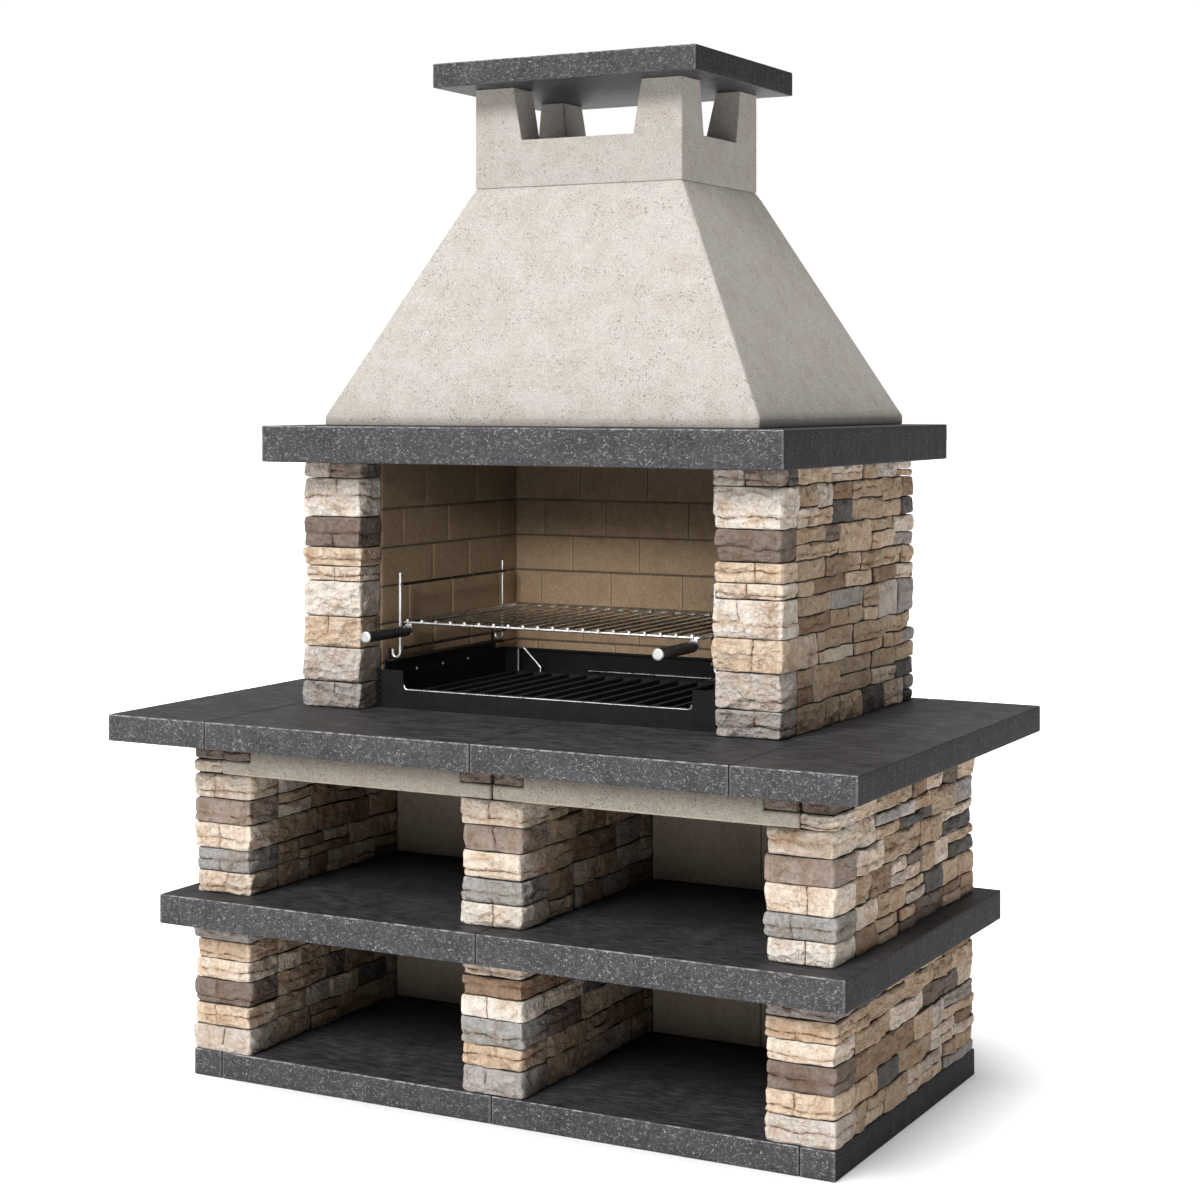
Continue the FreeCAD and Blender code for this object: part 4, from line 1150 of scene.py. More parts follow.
@dataclass(frozen=True)
class CastStone(Finish):
    """Pale cast stone or brick: a cloudy colour, darker pits and a fine grain.

    Fields:
        colour: main colour, in sRGB.
        patch: colour of the clouds.
        pit: colour of the pits.
        pit_cover: share of pits, from 0 to 1.
        pit_size: size of the pits against their spacing.
        pit_scale: pits to a metre.
        contrast: light and dark of the fine grain.
        grain: depth of the grain.
        edge_colour: colour of worn arrises.
        darkening: height where the painted shade starts, height where it is heaviest, and the share of light
            left there.
    """

    colour: Triple = (205, 199, 192)
    patch: Triple = (196, 186, 174)
    pit: Triple = (136, 113, 91)
    pit_cover: float = 0.42
    pit_size: float = 0.36
    pit_scale: float = 250.0
    contrast: float = 0.06
    grain: float = 0.8 * MM
    edge_colour: Triple = (228, 222, 215)
    darkening: Triple = (0.0, 0.0, 1.0)

    def paint(self, graph: Graph, place: Socket) -> dict[str, Value]:
        """Lays sand and pits on the clouds, wears the arrises and darkens the top with painted shade. See
        Finish.paint.
        """
        effects = self.effects
        cloudy = {"scale": 17.0, "cover": 0.6, "contrast": self.contrast}
        colours = {"colour": opaque(self.colour), "patch": opaque(self.patch)}
        clouds = graph.effect(effects.mottle, place, **colours, **cloudy)
        scale, cover, size = self.pit_scale, self.pit_cover, self.pit_size
        coarse = graph.effect(effects.specks, place, scale=scale, cover=cover, size=size)
        fine = graph.effect(effects.specks, place, scale=2.0 * scale, cover=1.5 * cover, size=size)
        pits = graph.math("MAXIMUM", coarse, graph.times(fine, 0.6))
        pits = graph.times(pits, graph.spread(graph.noise(place, 24.0), 0.36, 0.62, 0.2, 1.0))
        sand = graph.spread(graph.noise(place, 480.0, roughness=0.7), 0.3, 0.7, 0.76, 1.2)
        colour = graph.mix(graph.times(pits, 0.75), graph.scaled(clouds, sand), opaque(self.pit))
        edge = graph.effect(effects.worn_edge, place, edge=graph.attribute("edge"), scale=50.0, reach=0.3)
        colour = graph.mix(graph.times(edge, 0.5), colour, opaque(self.edge_colour))
        # Painted shade: darker towards the top, for the shade under the worktop over the lintels and under
        # the mantel over the fire bricks
        start, end, left = self.darkening
        if left < 1.0:
            rise = graph.add("SeparateXYZ", {0: place})[2]
            lit_share = graph.spread(rise, start, end, 1.0, math.sqrt(left))
            colour = graph.scaled(colour, graph.times(lit_share, lit_share))
        grain = graph.effect(effects.grain, place, scale=160.0, crumble=0.4)
        normal = graph.bump(graph.minus(graph.times(grain, 0.5), pits), self.grain)
        return {"Base Color": colour, "Roughness": 0.86, "Specular IOR Level": 0.25, "Normal": normal}


@dataclass(frozen=True)
class BareMetal(Finish):
    """Plated or painted metal: one colour with faint scuffs in its gloss.

    Fields:
        colour: main colour, in sRGB.
        metallic: 1 for bare metal, 0 for paint.
        gloss: roughness.
        scuff: how much the roughness changes.
        bump_depth: depth of the grain.
        grain_scale: grains to a metre.
        shine: strength of a painted surface's reflection.
    """

    colour: Triple = (200, 200, 200)
    metallic: float = 1.0
    gloss: float = 0.2
    scuff: float = 0.12
    bump_depth: float = 0.05 * MM
    grain_scale: float = 400.0
    shine: float = 0.5

    def paint(self, graph: Graph, place: Socket) -> dict[str, Value]:
        """Clouds the colour a little and scuffs the gloss. See Finish.paint."""
        patch = tint(tuple(0.86 * value for value in self.colour))
        cloudy = {"scale": 30.0, "cover": 0.8, "contrast": 0.1}
        colour = graph.effect(self.effects.mottle, place, colour=tint(self.colour), patch=patch, **cloudy)
        scuffs = graph.spread(graph.noise(place, 45.0, 5.0), 0.3, 0.7, self.gloss, self.gloss + self.scuff)
        grain = graph.effect(self.effects.grain, place, scale=self.grain_scale, crumble=0.3)
        return {
            "Base Color": colour,
            "Metallic": self.metallic,
            "Roughness": scuffs,
            "Specular IOR Level": self.shine,
            "Normal": graph.bump(grain, self.bump_depth),
        }


class Finishes:
    """Every material of the barbecue, built once."""

    # How far the fire bricks' painted shade reaches down from their top
    PAINTED_SHADE_REACH = 330 * MM
    # Height above the lintels' bottom where their painted shade starts
    PAINTED_SHADE_START = 6 * MM

    def __init__(self) -> None:
        """Builds them."""
        effects = Effects()
        self.stone = SplitStone("split_stone_faces", effects).build()
        self.slab = DarkSlab("charcoal_slab", effects).build()
        self.cast = CastStone("pale_cast", effects).build()
        self.collar = CastStone("collar_cast", effects, (193, 187, 180), (185, 175, 164)).build()
        # Painted shade on the lintels: darker towards their tops, where the worktop above shades them
        low, high = node_box("left_lintel")
        lintel_shade = (low[2] + self.PAINTED_SHADE_START, high[2], 0.15)
        colours = (220, 209, 194), (206, 192, 175), (142, 121, 98)
        self.lintel = CastStone(
            "lintel_cast", effects, *colours, 0.4, 0.4, 220.0, 0.1, darkening=lintel_shade
        ).build()
        self.block = CastStone(
            "niche_block", effects, (224, 208, 188), (206, 188, 166), (140, 120, 98), 0.2, 0.3, 170.0, 0.1
        ).build()
        # Painted shade on the fire bricks: darker towards their top, where the mantel shades them
        top = node_box("back_fire_bricks")[1][2]
        brick_shade = (top - self.PAINTED_SHADE_REACH, top, 0.5)
        colours = (183, 156, 125), (168, 139, 108), (120, 96, 72)
        self.brick = CastStone(
            "fire_brick_face", effects, *colours, 0.22, 0.3, 210.0, 0.12, 0.6 * MM, (206, 182, 152), brick_shade
        ).build()
        self.mortar = CastStone(
            "joint_mortar", effects, (112, 98, 82), (94, 82, 68), (70, 60, 50), 0.3, 0.4, 300.0, 0.15
        ).build()
        self.steel = BareMetal("black_enamel", effects, (13, 13, 14), 0.0, 0.42, 0.14, shine=0.16).build()
        self.iron = BareMetal(
            "cast_iron_black", effects, (22, 21, 21), 0.0, 0.6, 0.2, 0.35 * MM, 260.0, 0.2
        ).build()
        self.chrome = BareMetal("chromed_wire", effects, (216, 215, 213), gloss=0.24).build()
        self.rack = BareMetal("dull_chrome_wire", effects, (200, 199, 196), gloss=0.27).build()
        # Painted reflection: the rails' chrome gets a dark colour that stands for the dark surroundings it
        # reflects
        self.smoked = BareMetal("smoked_chrome_wire", effects, (78, 77, 75), scuff=0.1).build()
        self.zinc = BareMetal("zinc_plate", effects, (178, 178, 176), gloss=0.42, scuff=0.15).build()
        self.grip = BareMetal(
            "black_grip_wood", effects, (27, 25, 24), 0.0, 0.38, 0.16, 0.1 * MM, 300.0
        ).build()


WELD = 0.01 * MM
FLAT_ANGLE = math.radians(1.0)
SHARP_ANGLE = math.radians(20.0)


def ease(word: str, material: Material, spot: Spot, width: float) -> Piece:
    """Puts a copy of a CAD node with its sharp edges rounded in the node's place.

    Args:
        word: what follows the node's name in the copy's.
        material: the finish.
        spot: where it belongs.
        width: how far the rounding reaches from each edge.

    Returns:
        The copy.
    """
    shape = bmesh.new()
    shape.from_mesh(frame["nodes"][spot.node].data)
    bmesh.ops.remove_doubles(shape, verts=shape.verts, dist=WELD)
    bmesh.ops.dissolve_limit(shape, angle_limit=FLAT_ANGLE, verts=shape.verts, edges=shape.edges)
    sharp = [edge for edge in shape.edges if edge.is_manifold and edge.calc_face_angle() > SHARP_ANGLE]
    for face in shape.faces:
        face.smooth = False
    rounded = bmesh.ops.bevel(
        shape, geom=sharp, offset=width, segments=3, profile=0.5, affect="EDGES", clamp_overlap=True
    )
    for face in rounded["faces"]:
        face.smooth = True
    mesh = bpy.data.meshes.new(f"{spot.node}_{word}")
    shape.to_mesh(mesh)
    shape.free()
    edge = mesh.attributes.new("edge", "FLOAT", "POINT")
    edge.data.foreach_set("value", np.zeros(len(mesh.vertices), dtype=np.float32))
    return spot.fill(f"{spot.node}_{word}", mesh, material)


def tube(
    name: str, paths: list[Array], radius: float, material: Material, spot: Spot, closed: bool = False
) -> None:
    """Makes a piece of round wires along paths.

    Args:
        name: its name.
        paths: points of each wire, three numbers to a row.
        radius: the wire's radius.
        material: its finish.
        spot: where it belongs.
        closed: whether each path returns to its start.
    """
    curve = bpy.data.curves.new(name, "CURVE")
    curve.dimensions = "3D"
    curve.bevel_depth = radius
    curve.bevel_resolution = 4
    curve.use_fill_caps = True
    for path in paths:
        spline = curve.splines.new("POLY")
        spline.points.add(len(path) - 1)
        spline.points.foreach_set("co", np.c_[path, np.ones(len(path))].reshape(-1))
        spline.use_cyclic_u = closed
        spline.use_smooth = True
    spot.fill(name, curve, material)


BEND_STEPS = 8
TURN_POINTS = 40
CORNER_POINTS = 3


def bent(corners: list[Triple], radius: float, closed: bool = False) -> Array:
    """A path along straight runs with each corner rounded to one radius.

    Args:
        corners: the corners, and the ends of an open path.
        radius: radius of the bends.
        closed: whether the path returns to its start.

    Returns:
        The path's points.
    """
    places = [np.array(corner) for corner in corners]
    count = len(places)
    bends = range(count) if closed else range(1, count - 1)
    path = [] if closed else [places[0]]
    for i in bends:
        before, corner, after = places[i - 1], places[i], places[(i + 1) % count]
        incoming = (corner - before) / np.linalg.norm(corner - before)
        outgoing = (after - corner) / np.linalg.norm(after - corner)
        turn = math.acos(float(np.clip(incoming @ outgoing, -1.0, 1.0)))
        inward = (outgoing - incoming * math.cos(turn)) / math.sin(turn)
        centre = corner - incoming * radius * math.tan(turn / 2) + inward * radius
        for angle in np.linspace(0.0, turn, BEND_STEPS + 1):
            path.append(centre + (incoming * math.sin(angle) - inward * math.cos(angle)) * radius)
    if not closed:
        path.append(places[-1])
    return np.array(path)


def turned(store: MeshStore, start: Array, profile: list[tuple[float, float]]) -> None:
    """Adds a turned piece whose axis runs along Y.

    Args:
        store: the mesh it goes into.
        start: the point where its axis starts.
        profile: distance along the axis and radius, from front to back.
    """
    turns = -np.arange(TURN_POINTS) * 2.0 * math.pi / TURN_POINTS
    wheel = np.stack([np.cos(turns), np.zeros(TURN_POINTS), np.sin(turns)], axis=1)
    store.add_turned([start + np.array([0.0, along, 0.0]) + radius * wheel for along, radius in profile])


def rounded_ring(low: Array, high: Array, radius: float, along: tuple[int, int]) -> Array:
    """A rectangle with rounded corners as a ring of points, with the same count whatever its size.

    Args:
        low: least X and Y.
        high: greatest X and Y.
        radius: radius of its corners.
        along: steps along X and along Y.

    Returns:
        X and Y of each point.
    """
    corners = [low, np.array([high[0], low[1]]), high, np.array([low[0], high[1]])]
    points = []
    for i, side in enumerate(Side):
        normal, direction = side.outward(), side.along()
        begin = corners[i] + direction * radius
        end = corners[(i + 1) % 4] - direction * radius
        points += list(np.linspace(begin, end, along[i % 2] + 1))
        centre = end - normal * radius
        for turn in np.linspace(0.0, math.pi / 2, CORNER_POINTS + 2)[1:-1]:
            points.append(centre + (normal * math.cos(turn) + direction * math.sin(turn)) * radius)
    return np.array(points)


@dataclass
class Bay:
    """A stone's place on a wall: its start and end along Y, its bottom and its top."""

    start: float
    end: float
    bottom: float
    top: float

    def length(self) -> float:
        """Length along the wall."""
        return self.end - self.start

    def height(self) -> float:
        """Height of the stone."""
        return self.top - self.bottom


class LedgeBond:
    """Breaks even courses up: long stones are halved, tall ones laid in two ledges, and some jump a bed."""

    LEAST_LENGTH = 28 * MM
    LEAST_HEIGHT = 20 * MM
    TALL = 58 * MM
    MOST_JUMP = 92 * MM
    LEAST_OVERLAP = 1.6
    SAME_END = 3 * MM
    TALL_CHANCE = 0.8

    def __init__(self, bays: list[Bay], seed: int) -> None:
        """Takes the stones' places, and the seed that chooses the breaks."""
        self.bays = bays
        self.rng = np.random.default_rng(seed)

    def resting(self, bay: Bay) -> list[Bay]:
        """The stones whose bed is at a stone's top."""
        return [b for b in self.bays if abs(b.bottom - bay.top) < TOUCH]

    def join_thin(self, least: float) -> None:
        """Joins ledges that are thinner than a limit to the stone above them."""
        for bay in sorted(self.bays, key=lambda b: b.bottom):
            if bay.height() > least or bay not in self.bays:
                continue
            above = [b for b in self.resting(bay) if abs(b.end - bay.end) < self.SAME_END]
            if above and above[0].height() < 2 * least:
                self.bays = [b for b in self.bays if b is not bay and b is not above[0]]
                self.bays.append(replace(bay, top=above[0].top))

    def halve_long(self, longest: float) -> None:
        """Parts stones that are longer than a limit, at an uneven place."""
        made = []
        for bay in self.bays:
            if bay.length() > longest * self.rng.uniform(0.8, 1.3):
                cut = bay.start + bay.length() * self.rng.uniform(0.34, 0.66)
                made += [replace(bay, end=cut), replace(bay, start=cut)]
            else:
                made.append(bay)
        self.bays = made

    def lay_ledges(self, chance: float) -> None:
        """Lays some stones, and most of the tall ones, as two ledges."""
        made = []
        for bay in self.bays:
            share = self.rng.uniform(0.36, 0.62)
            drawn = self.rng.random()
            tall = bay.height() > self.TALL
            thick = bay.height() * min(share, 1 - share) > self.LEAST_HEIGHT
            if thick and drawn < (self.TALL_CHANCE if tall else chance):
                bed = bay.bottom + bay.height() * share
                made += [replace(bay, top=bed), replace(bay, bottom=bed)]
            else:
                made.append(bay)
        self.bays = made

    def jump_beds(self, tries: int) -> None:
        """Joins parts of two stones, one above the other, into a stone that is as tall as both."""
        for _ in range(tries):
            below = self.bays[self.rng.integers(len(self.bays))]
            resting = self.resting(below)
            shared = [(min(b.end, below.end) - max(b.start, below.start), i) for i, b in enumerate(resting)]
            if not shared:
                continue
            overlap, place = max(shared)
            above = resting[place]
            start, end = max(above.start, below.start), min(above.end, below.end)
            rests = [start - below.start, below.end - end, start - above.start, above.end - end]
            if overlap < self.LEAST_OVERLAP * self.LEAST_LENGTH or above.top - below.bottom > self.MOST_JUMP:
                continue
            if any(TOUCH < rest < self.LEAST_LENGTH for rest in rests):
                continue
            self.bays = [b for b in self.bays if b is not below and b is not above]
            self.bays.append(Bay(start, end, below.bottom, above.top))
            for bay in (below, above):
                if start - bay.start > TOUCH:
                    self.bays.append(replace(bay, end=start))
                if bay.end - end > TOUCH:
                    self.bays.append(replace(bay, start=end))


WALL_TONES = {
    Tone.TAN: 0.23,
    Tone.CREAM: 0.12,
    Tone.KHAKI: 0.26,
    Tone.LIGHT_GREY: 0.08,
    Tone.HONEY: 0.06,
    Tone.BROWN: 0.1,
    Tone.GREY: 0.03,
    Tone.BROWN_GREY: 0.07,
    Tone.SLATE: 0.05,
}
END_TONES = {Tone.SLATE: 0.3, Tone.GREY: 0.15, Tone.BROWN: 0.15, Tone.TAN: 0.2, Tone.CREAM: 0.2}


@dataclass
class StoneWall:
    """A coursed wall behind a pier.

    Fields:
        open_sides: the long sides that show.
        setback: most that a stone lies behind the wall's plane.
        thin: ledges up to this height are joined to the stone above.
        long: stones longer than about this are halved.
        jumps: tries to let a stone jump a bed.
        ledges: chance that a stone is laid in two ledges.
        end_reach: stones that end within this of the wall's back are its end stones.
        sway: greatest shift of the joints along Y and along Z.
        sway_size: length of the waves in which they shift.
    """

    node: str
    open_sides: frozenset[Side]
    finishes: Finishes
    seed: int
    setback: float = 4 * MM
    thin: float = 19 * MM
    long: float = 165 * MM
    jumps: int = 9
    ledges: float = 0.3
    end_reach: float = 8 * MM
    sway: tuple[float, float] = (6 * MM, 3 * MM)
    sway_size: float = 60 * MM

    def bays(self) -> list[Bay]:
        """The stones' places, from the CAD stones."""
        boxes = solid_boxes(self.node)
        bond = LedgeBond([Bay(low[1], high[1], low[2], high[2]) for low, high in boxes], self.seed)
        bond.join_thin(self.thin)
        bond.halve_long(self.long)
        bond.jump_beds(self.jumps)
        bond.lay_ledges(self.ledges)
        return bond.bays

    def build(self) -> None:
        """Builds the wall and puts it in place of its node."""
        low, high = node_box(self.node)
        mason = Mason(LEDGE_STONE, self.seed)
        rng = np.random.default_rng(self.seed + 1)
        store = MeshStore()
        for bay in self.bays():
            last = bay.end > high[1] - self.end_reach
            weights = END_TONES if last else WALL_TONES
            tone = rng.choice(np.array(list(weights), dtype=object), p=np.array(list(weights.values())))
            back = rng.uniform(0.0, self.setback)
            left = low[0] + (back if Side.LEFT in self.open_sides else 0.0)
            right = high[0] - (back if Side.RIGHT in self.open_sides else 0.0)
            sides = self.open_sides | ({Side.BACK} if last else set())
            start, end = np.array([left, bay.start, bay.bottom]), np.array([right, bay.end, bay.top])
            mason.dress(Block(start, end, sides, tone), store)
        store.sway(low, high, self.sway, self.sway_size, self.seed + 2)
        store.install(f"{self.node}_stones", self.finishes.stone, Spot(Slot.STONE, self.node))


@dataclass
class Pier:
    """A stack of corner stones.

    Fields:
        tones: a colour for each CAD stone, in the node's order.
        mixed: colours of the three stones of the last course: left, right and behind the right one.
        flush: the sides on which the lowest stones keep clear of a moving piece.
        joint_across: where the last course is parted, as a share of its width.
        joint_behind: where its right part is, as a share of its depth.
    """

    node: str
    tones: tuple[Tone, ...]
    finishes: Finishes
    seed: int
    mixed: tuple[Tone, ...] = ()
    flush: frozenset[Side] = frozenset()
    flush_courses: int = 2
    joint_across: float = 0.46
    joint_behind: float = 0.42

    def blocks(self) -> list[Block]:
        """The stones of the pier."""
        sides = frozenset({Side.FRONT, Side.LEFT, Side.RIGHT})
        boxes = solid_boxes(self.node)
        made = [Block(low, high, sides, tone) for (low, high), tone in zip(boxes, self.tones)]
        for block in made[: self.flush_courses]:
            block.flush = self.flush
        return made[:-1] + self.parted(made[-1]) if self.mixed else made

    def parted(self, course: Block) -> list[Block]:
        """The three stones that the last course is laid in.

        Args:
            course: the course as one stone.

        Returns:
            The left stone, the right one and the one behind it.
        """
        low, high = course.low, course.high
        across = low[0] + self.joint_across * (high[0] - low[0])
        behind = low[1] + self.joint_behind * (high[1] - low[1])
        parts = (
            (low, (across, high[1], high[2]), {Side.FRONT, Side.LEFT}),
            ((across, low[1], low[2]), (high[0], behind, high[2]), {Side.FRONT, Side.RIGHT}),
            ((across, behind, low[2]), high, {Side.RIGHT}),
        )
        return [
            Block(np.array(start), np.array(end), frozenset(sides), tone)
            for (start, end, sides), tone in zip(parts, self.mixed)
        ]

    def build(self) -> None:
        """Builds the pier and puts it in place of its node."""
        mason = Mason(CORNER_STONE, self.seed)
        store = MeshStore()
        for block in self.blocks():
            mason.dress(block, store)
        store.install(f"{self.node}_stones", self.finishes.stone, Spot(Slot.STONE, self.node))


def tones(names: str) -> tuple[Tone, ...]:
    """Colours by name."""
    return tuple(Tone[name] for name in names.split())


LOWER_END_TONES = tones("LIGHT_GREY HONEY BROWN_GREY CREAM TAN GREY")
UPPER_TONES = tones("BLUE_GREY CREAM PINK_BROWN CREAM")
BASE_PIER_TONES = {
    "lower_left": LOWER_END_TONES,
    "lower_centre": tones("GREY TAN BLUE_GREY IVORY BROWN CREAM"),
    "lower_right": LOWER_END_TONES,
    "upper_left": (Tone.CREAM, *UPPER_TONES),
    "upper_centre": (Tone.IVORY, *UPPER_TONES),
    "upper_right": (Tone.IVORY, *UPPER_TONES),
}
LINTEL_SEAT_TONES = tones("BROWN_GREY BROWN_GREY CREAM")
FIREBOX_PIER_TONES = tones("GREY LIGHT_GREY HONEY IVORY CREAM HONEY BROWN_GREY IVORY LIGHT_GREY")
TOP_COURSE_TONES = tones("LIGHT_GREY PINK_BROWN SLATE")


@dataclass
class Slab:
    """A sawn slab that replaces one CAD node."""

    node: str
    finishes: Finishes
    seed: int

    def build(self) -> None:
        """Builds the slab and puts it in place of its node."""
        low, high = node_box(self.node)
        store = MeshStore()
        Mason(SAWN_SLAB, self.seed).dress(Block(low, high, ALL_SIDES), store)
        store.install(f"{self.node}_stone", self.finishes.slab, Spot(Slot.SLAB, self.node))


# Heights of the fire bricks' courses from the bottom, in millimetres
BRICK_ROWS = (84, 79, 76, 78, 79, 98)


@dataclass
class Blockwork:
    """Bricks or blocks that replace one CAD node, with a mortar bed behind their joints where it shows.

    Fields:
        open_sides: the sides that show.
        work: how the blocks are worked.
        mortar: the bed's finish, or None.
        recess: how far the bed lies behind the open face.
        brick: length of a brick, where the bond isn't the CAD node's.
    """

    node: str
    open_sides: frozenset[Side]
    work: Work
    material: Material
    slot: Slot
    seed: int
    mortar: Material | None = None
    recess: float = 2.5 * MM
    brick: float | None = None
    LEAST_BRICK = 40 * MM
    JOINT_SHIFT = 0.14
    MORTAR_EDGE = 0.2 * MM
    MORTAR_ARRIS = 0.5 * MM

    def boxes(self) -> list[Box]:
        """The blocks' boxes: the CAD blocks, or bricks in stretcher bond where a brick's size is given."""
        if self.brick is None:
            return solid_boxes(self.node)
        low, high = node_box(self.node)
        axis = 0 if Side.FRONT in self.open_sides else 1
        rng = np.random.default_rng(self.seed)
        shares = np.concatenate([[0.0], np.cumsum(BRICK_ROWS) / sum(BRICK_ROWS)])
        beds = low[2] + (high[2] - low[2]) * shares
        made = []
        for row, (bottom, top) in enumerate(zip(beds, beds[1:])):
            first = low[axis] + self.brick * (0.5 + 0.5 * (row % 2))
            inner = np.arange(first, high[axis] - self.LEAST_BRICK, self.brick)
            inner += rng.uniform(-self.JOINT_SHIFT, self.JOINT_SHIFT, len(inner)) * self.brick
            joints = [low[axis], *inner, high[axis]]
            for start, end in zip(joints, joints[1:]):
                brick_low, brick_high = low.copy(), high.copy()
                brick_low[axis], brick_high[axis] = start, end
                brick_low[2], brick_high[2] = bottom, top
                made.append((brick_low, brick_high))
        return made

    def build(self) -> None:
        """Builds the blocks and puts them in place of their node."""
        mason = Mason(self.work, self.seed)
        store = MeshStore()
        for low, high in self.boxes():
            inset = np.array([0.0, 0.0, self.work.joint])
            mason.dress(Block(low + inset, high - inset, self.open_sides), store)
        store.install(f"{self.node}_laid", self.material, Spot(self.slot, self.node))
        if self.mortar:
            self.build_mortar()

    def build_mortar(self) -> None:
        """Builds the bed of mortar."""
        low, high = node_box(self.node)
        for side in self.open_sides:
            direction = side.outward(3)
            low = low - np.minimum(direction, 0.0) * self.recess
            high = high - np.maximum(direction, 0.0) * self.recess
        store = MeshStore()
        block = Block(low + self.MORTAR_EDGE, high - self.MORTAR_EDGE, self.open_sides)
        Mason(replace(self.work, arris=self.MORTAR_ARRIS), self.seed + 1).dress(block, store)
        store.install(f"{self.node}_mortar", self.mortar, Spot(self.slot, self.node, True))


@dataclass
class Base:
    """Plinth, walls, shelf, niche backs, lintels and worktop."""

    finishes: Finishes
    seed: int = 100
    lintel_arris: float = 4 * MM

    def build(self) -> None:
        """Builds the base from the ground up."""
        slabs = [node for node in BODY_OF if node.startswith(("plinth_", "shelf_", "worktop_"))]
        for number, node in enumerate(slabs):
            Slab(node, self.finishes, self.seed + number).build()
        self.build_walls()
        sides, mortar = frozenset({Side.FRONT, Side.BACK}), self.finishes.mortar
        for number, node in enumerate(("lower_back_blocks", "upper_back_blocks")):
            Blockwork(
                node, sides, WALL_BLOCK, self.finishes.block, Slot.BLOCK, self.seed + 60 + number, mortar
            ).build()
        for side in ("left", "right"):
            ease("beam", self.finishes.lintel, Spot(Slot.CAST, f"{side}_lintel"), self.lintel_arris)

    def build_walls(self) -> None:
        """Builds the piers and the walls behind them."""
        faces = frozenset({Side.LEFT, Side.RIGHT})
        for number, (place, tones) in enumerate(BASE_PIER_TONES.items()):
            seats = LINTEL_SEAT_TONES if place.startswith("upper") else ()
            Pier(f"{place}_pier", tones + seats, self.finishes, self.seed + 20 + number).build()
            StoneWall(f"{place}_wall", faces, self.finishes, self.seed + 40 + number).build()


@dataclass
class Firebox:
    """Stone leaves, corner stones, the lining of bricks with their length, and the back panel."""

    finishes: Finishes
    brick: float = 178 * MM
    seed: int = 200

    def build(self) -> None:
        """Builds the firebox."""
        for number, (name, outer) in enumerate({"left": Side.LEFT, "right": Side.RIGHT}.items()):
            inner = frozenset({Side.LEFT, Side.RIGHT}) - {outer}
            Pier(
                f"firebox_{name}_pier",
                FIREBOX_PIER_TONES,
                self.finishes,
                self.seed + number,
                TOP_COURSE_TONES,
                flush=inner,
            ).build()
            wall_seed = self.seed + 10 + number
            StoneWall(f"firebox_{name}_wall", frozenset({outer}), self.finishes, wall_seed).build()
        linings = {"left": Side.RIGHT, "right": Side.LEFT, "back": Side.FRONT}
        for number, (name, face) in enumerate(linings.items()):
            Blockwork(
                f"{name}_fire_bricks",
                frozenset({face}),
                FIRE_BRICK,
                self.finishes.brick,
                Slot.BRICK,
                self.seed + 20 + number,
                self.finishes.mortar,
                brick=self.brick,
            ).build()
        low, high = node_box("firebox_back_panel")
        store = MeshStore()
        Mason(WALL_BLOCK, self.seed + 30).dress(Block(low, high, frozenset({Side.BACK})), store)
        store.install("firebox_back_panel_cast", self.finishes.cast, Spot(Slot.CAST, "firebox_back_panel"))


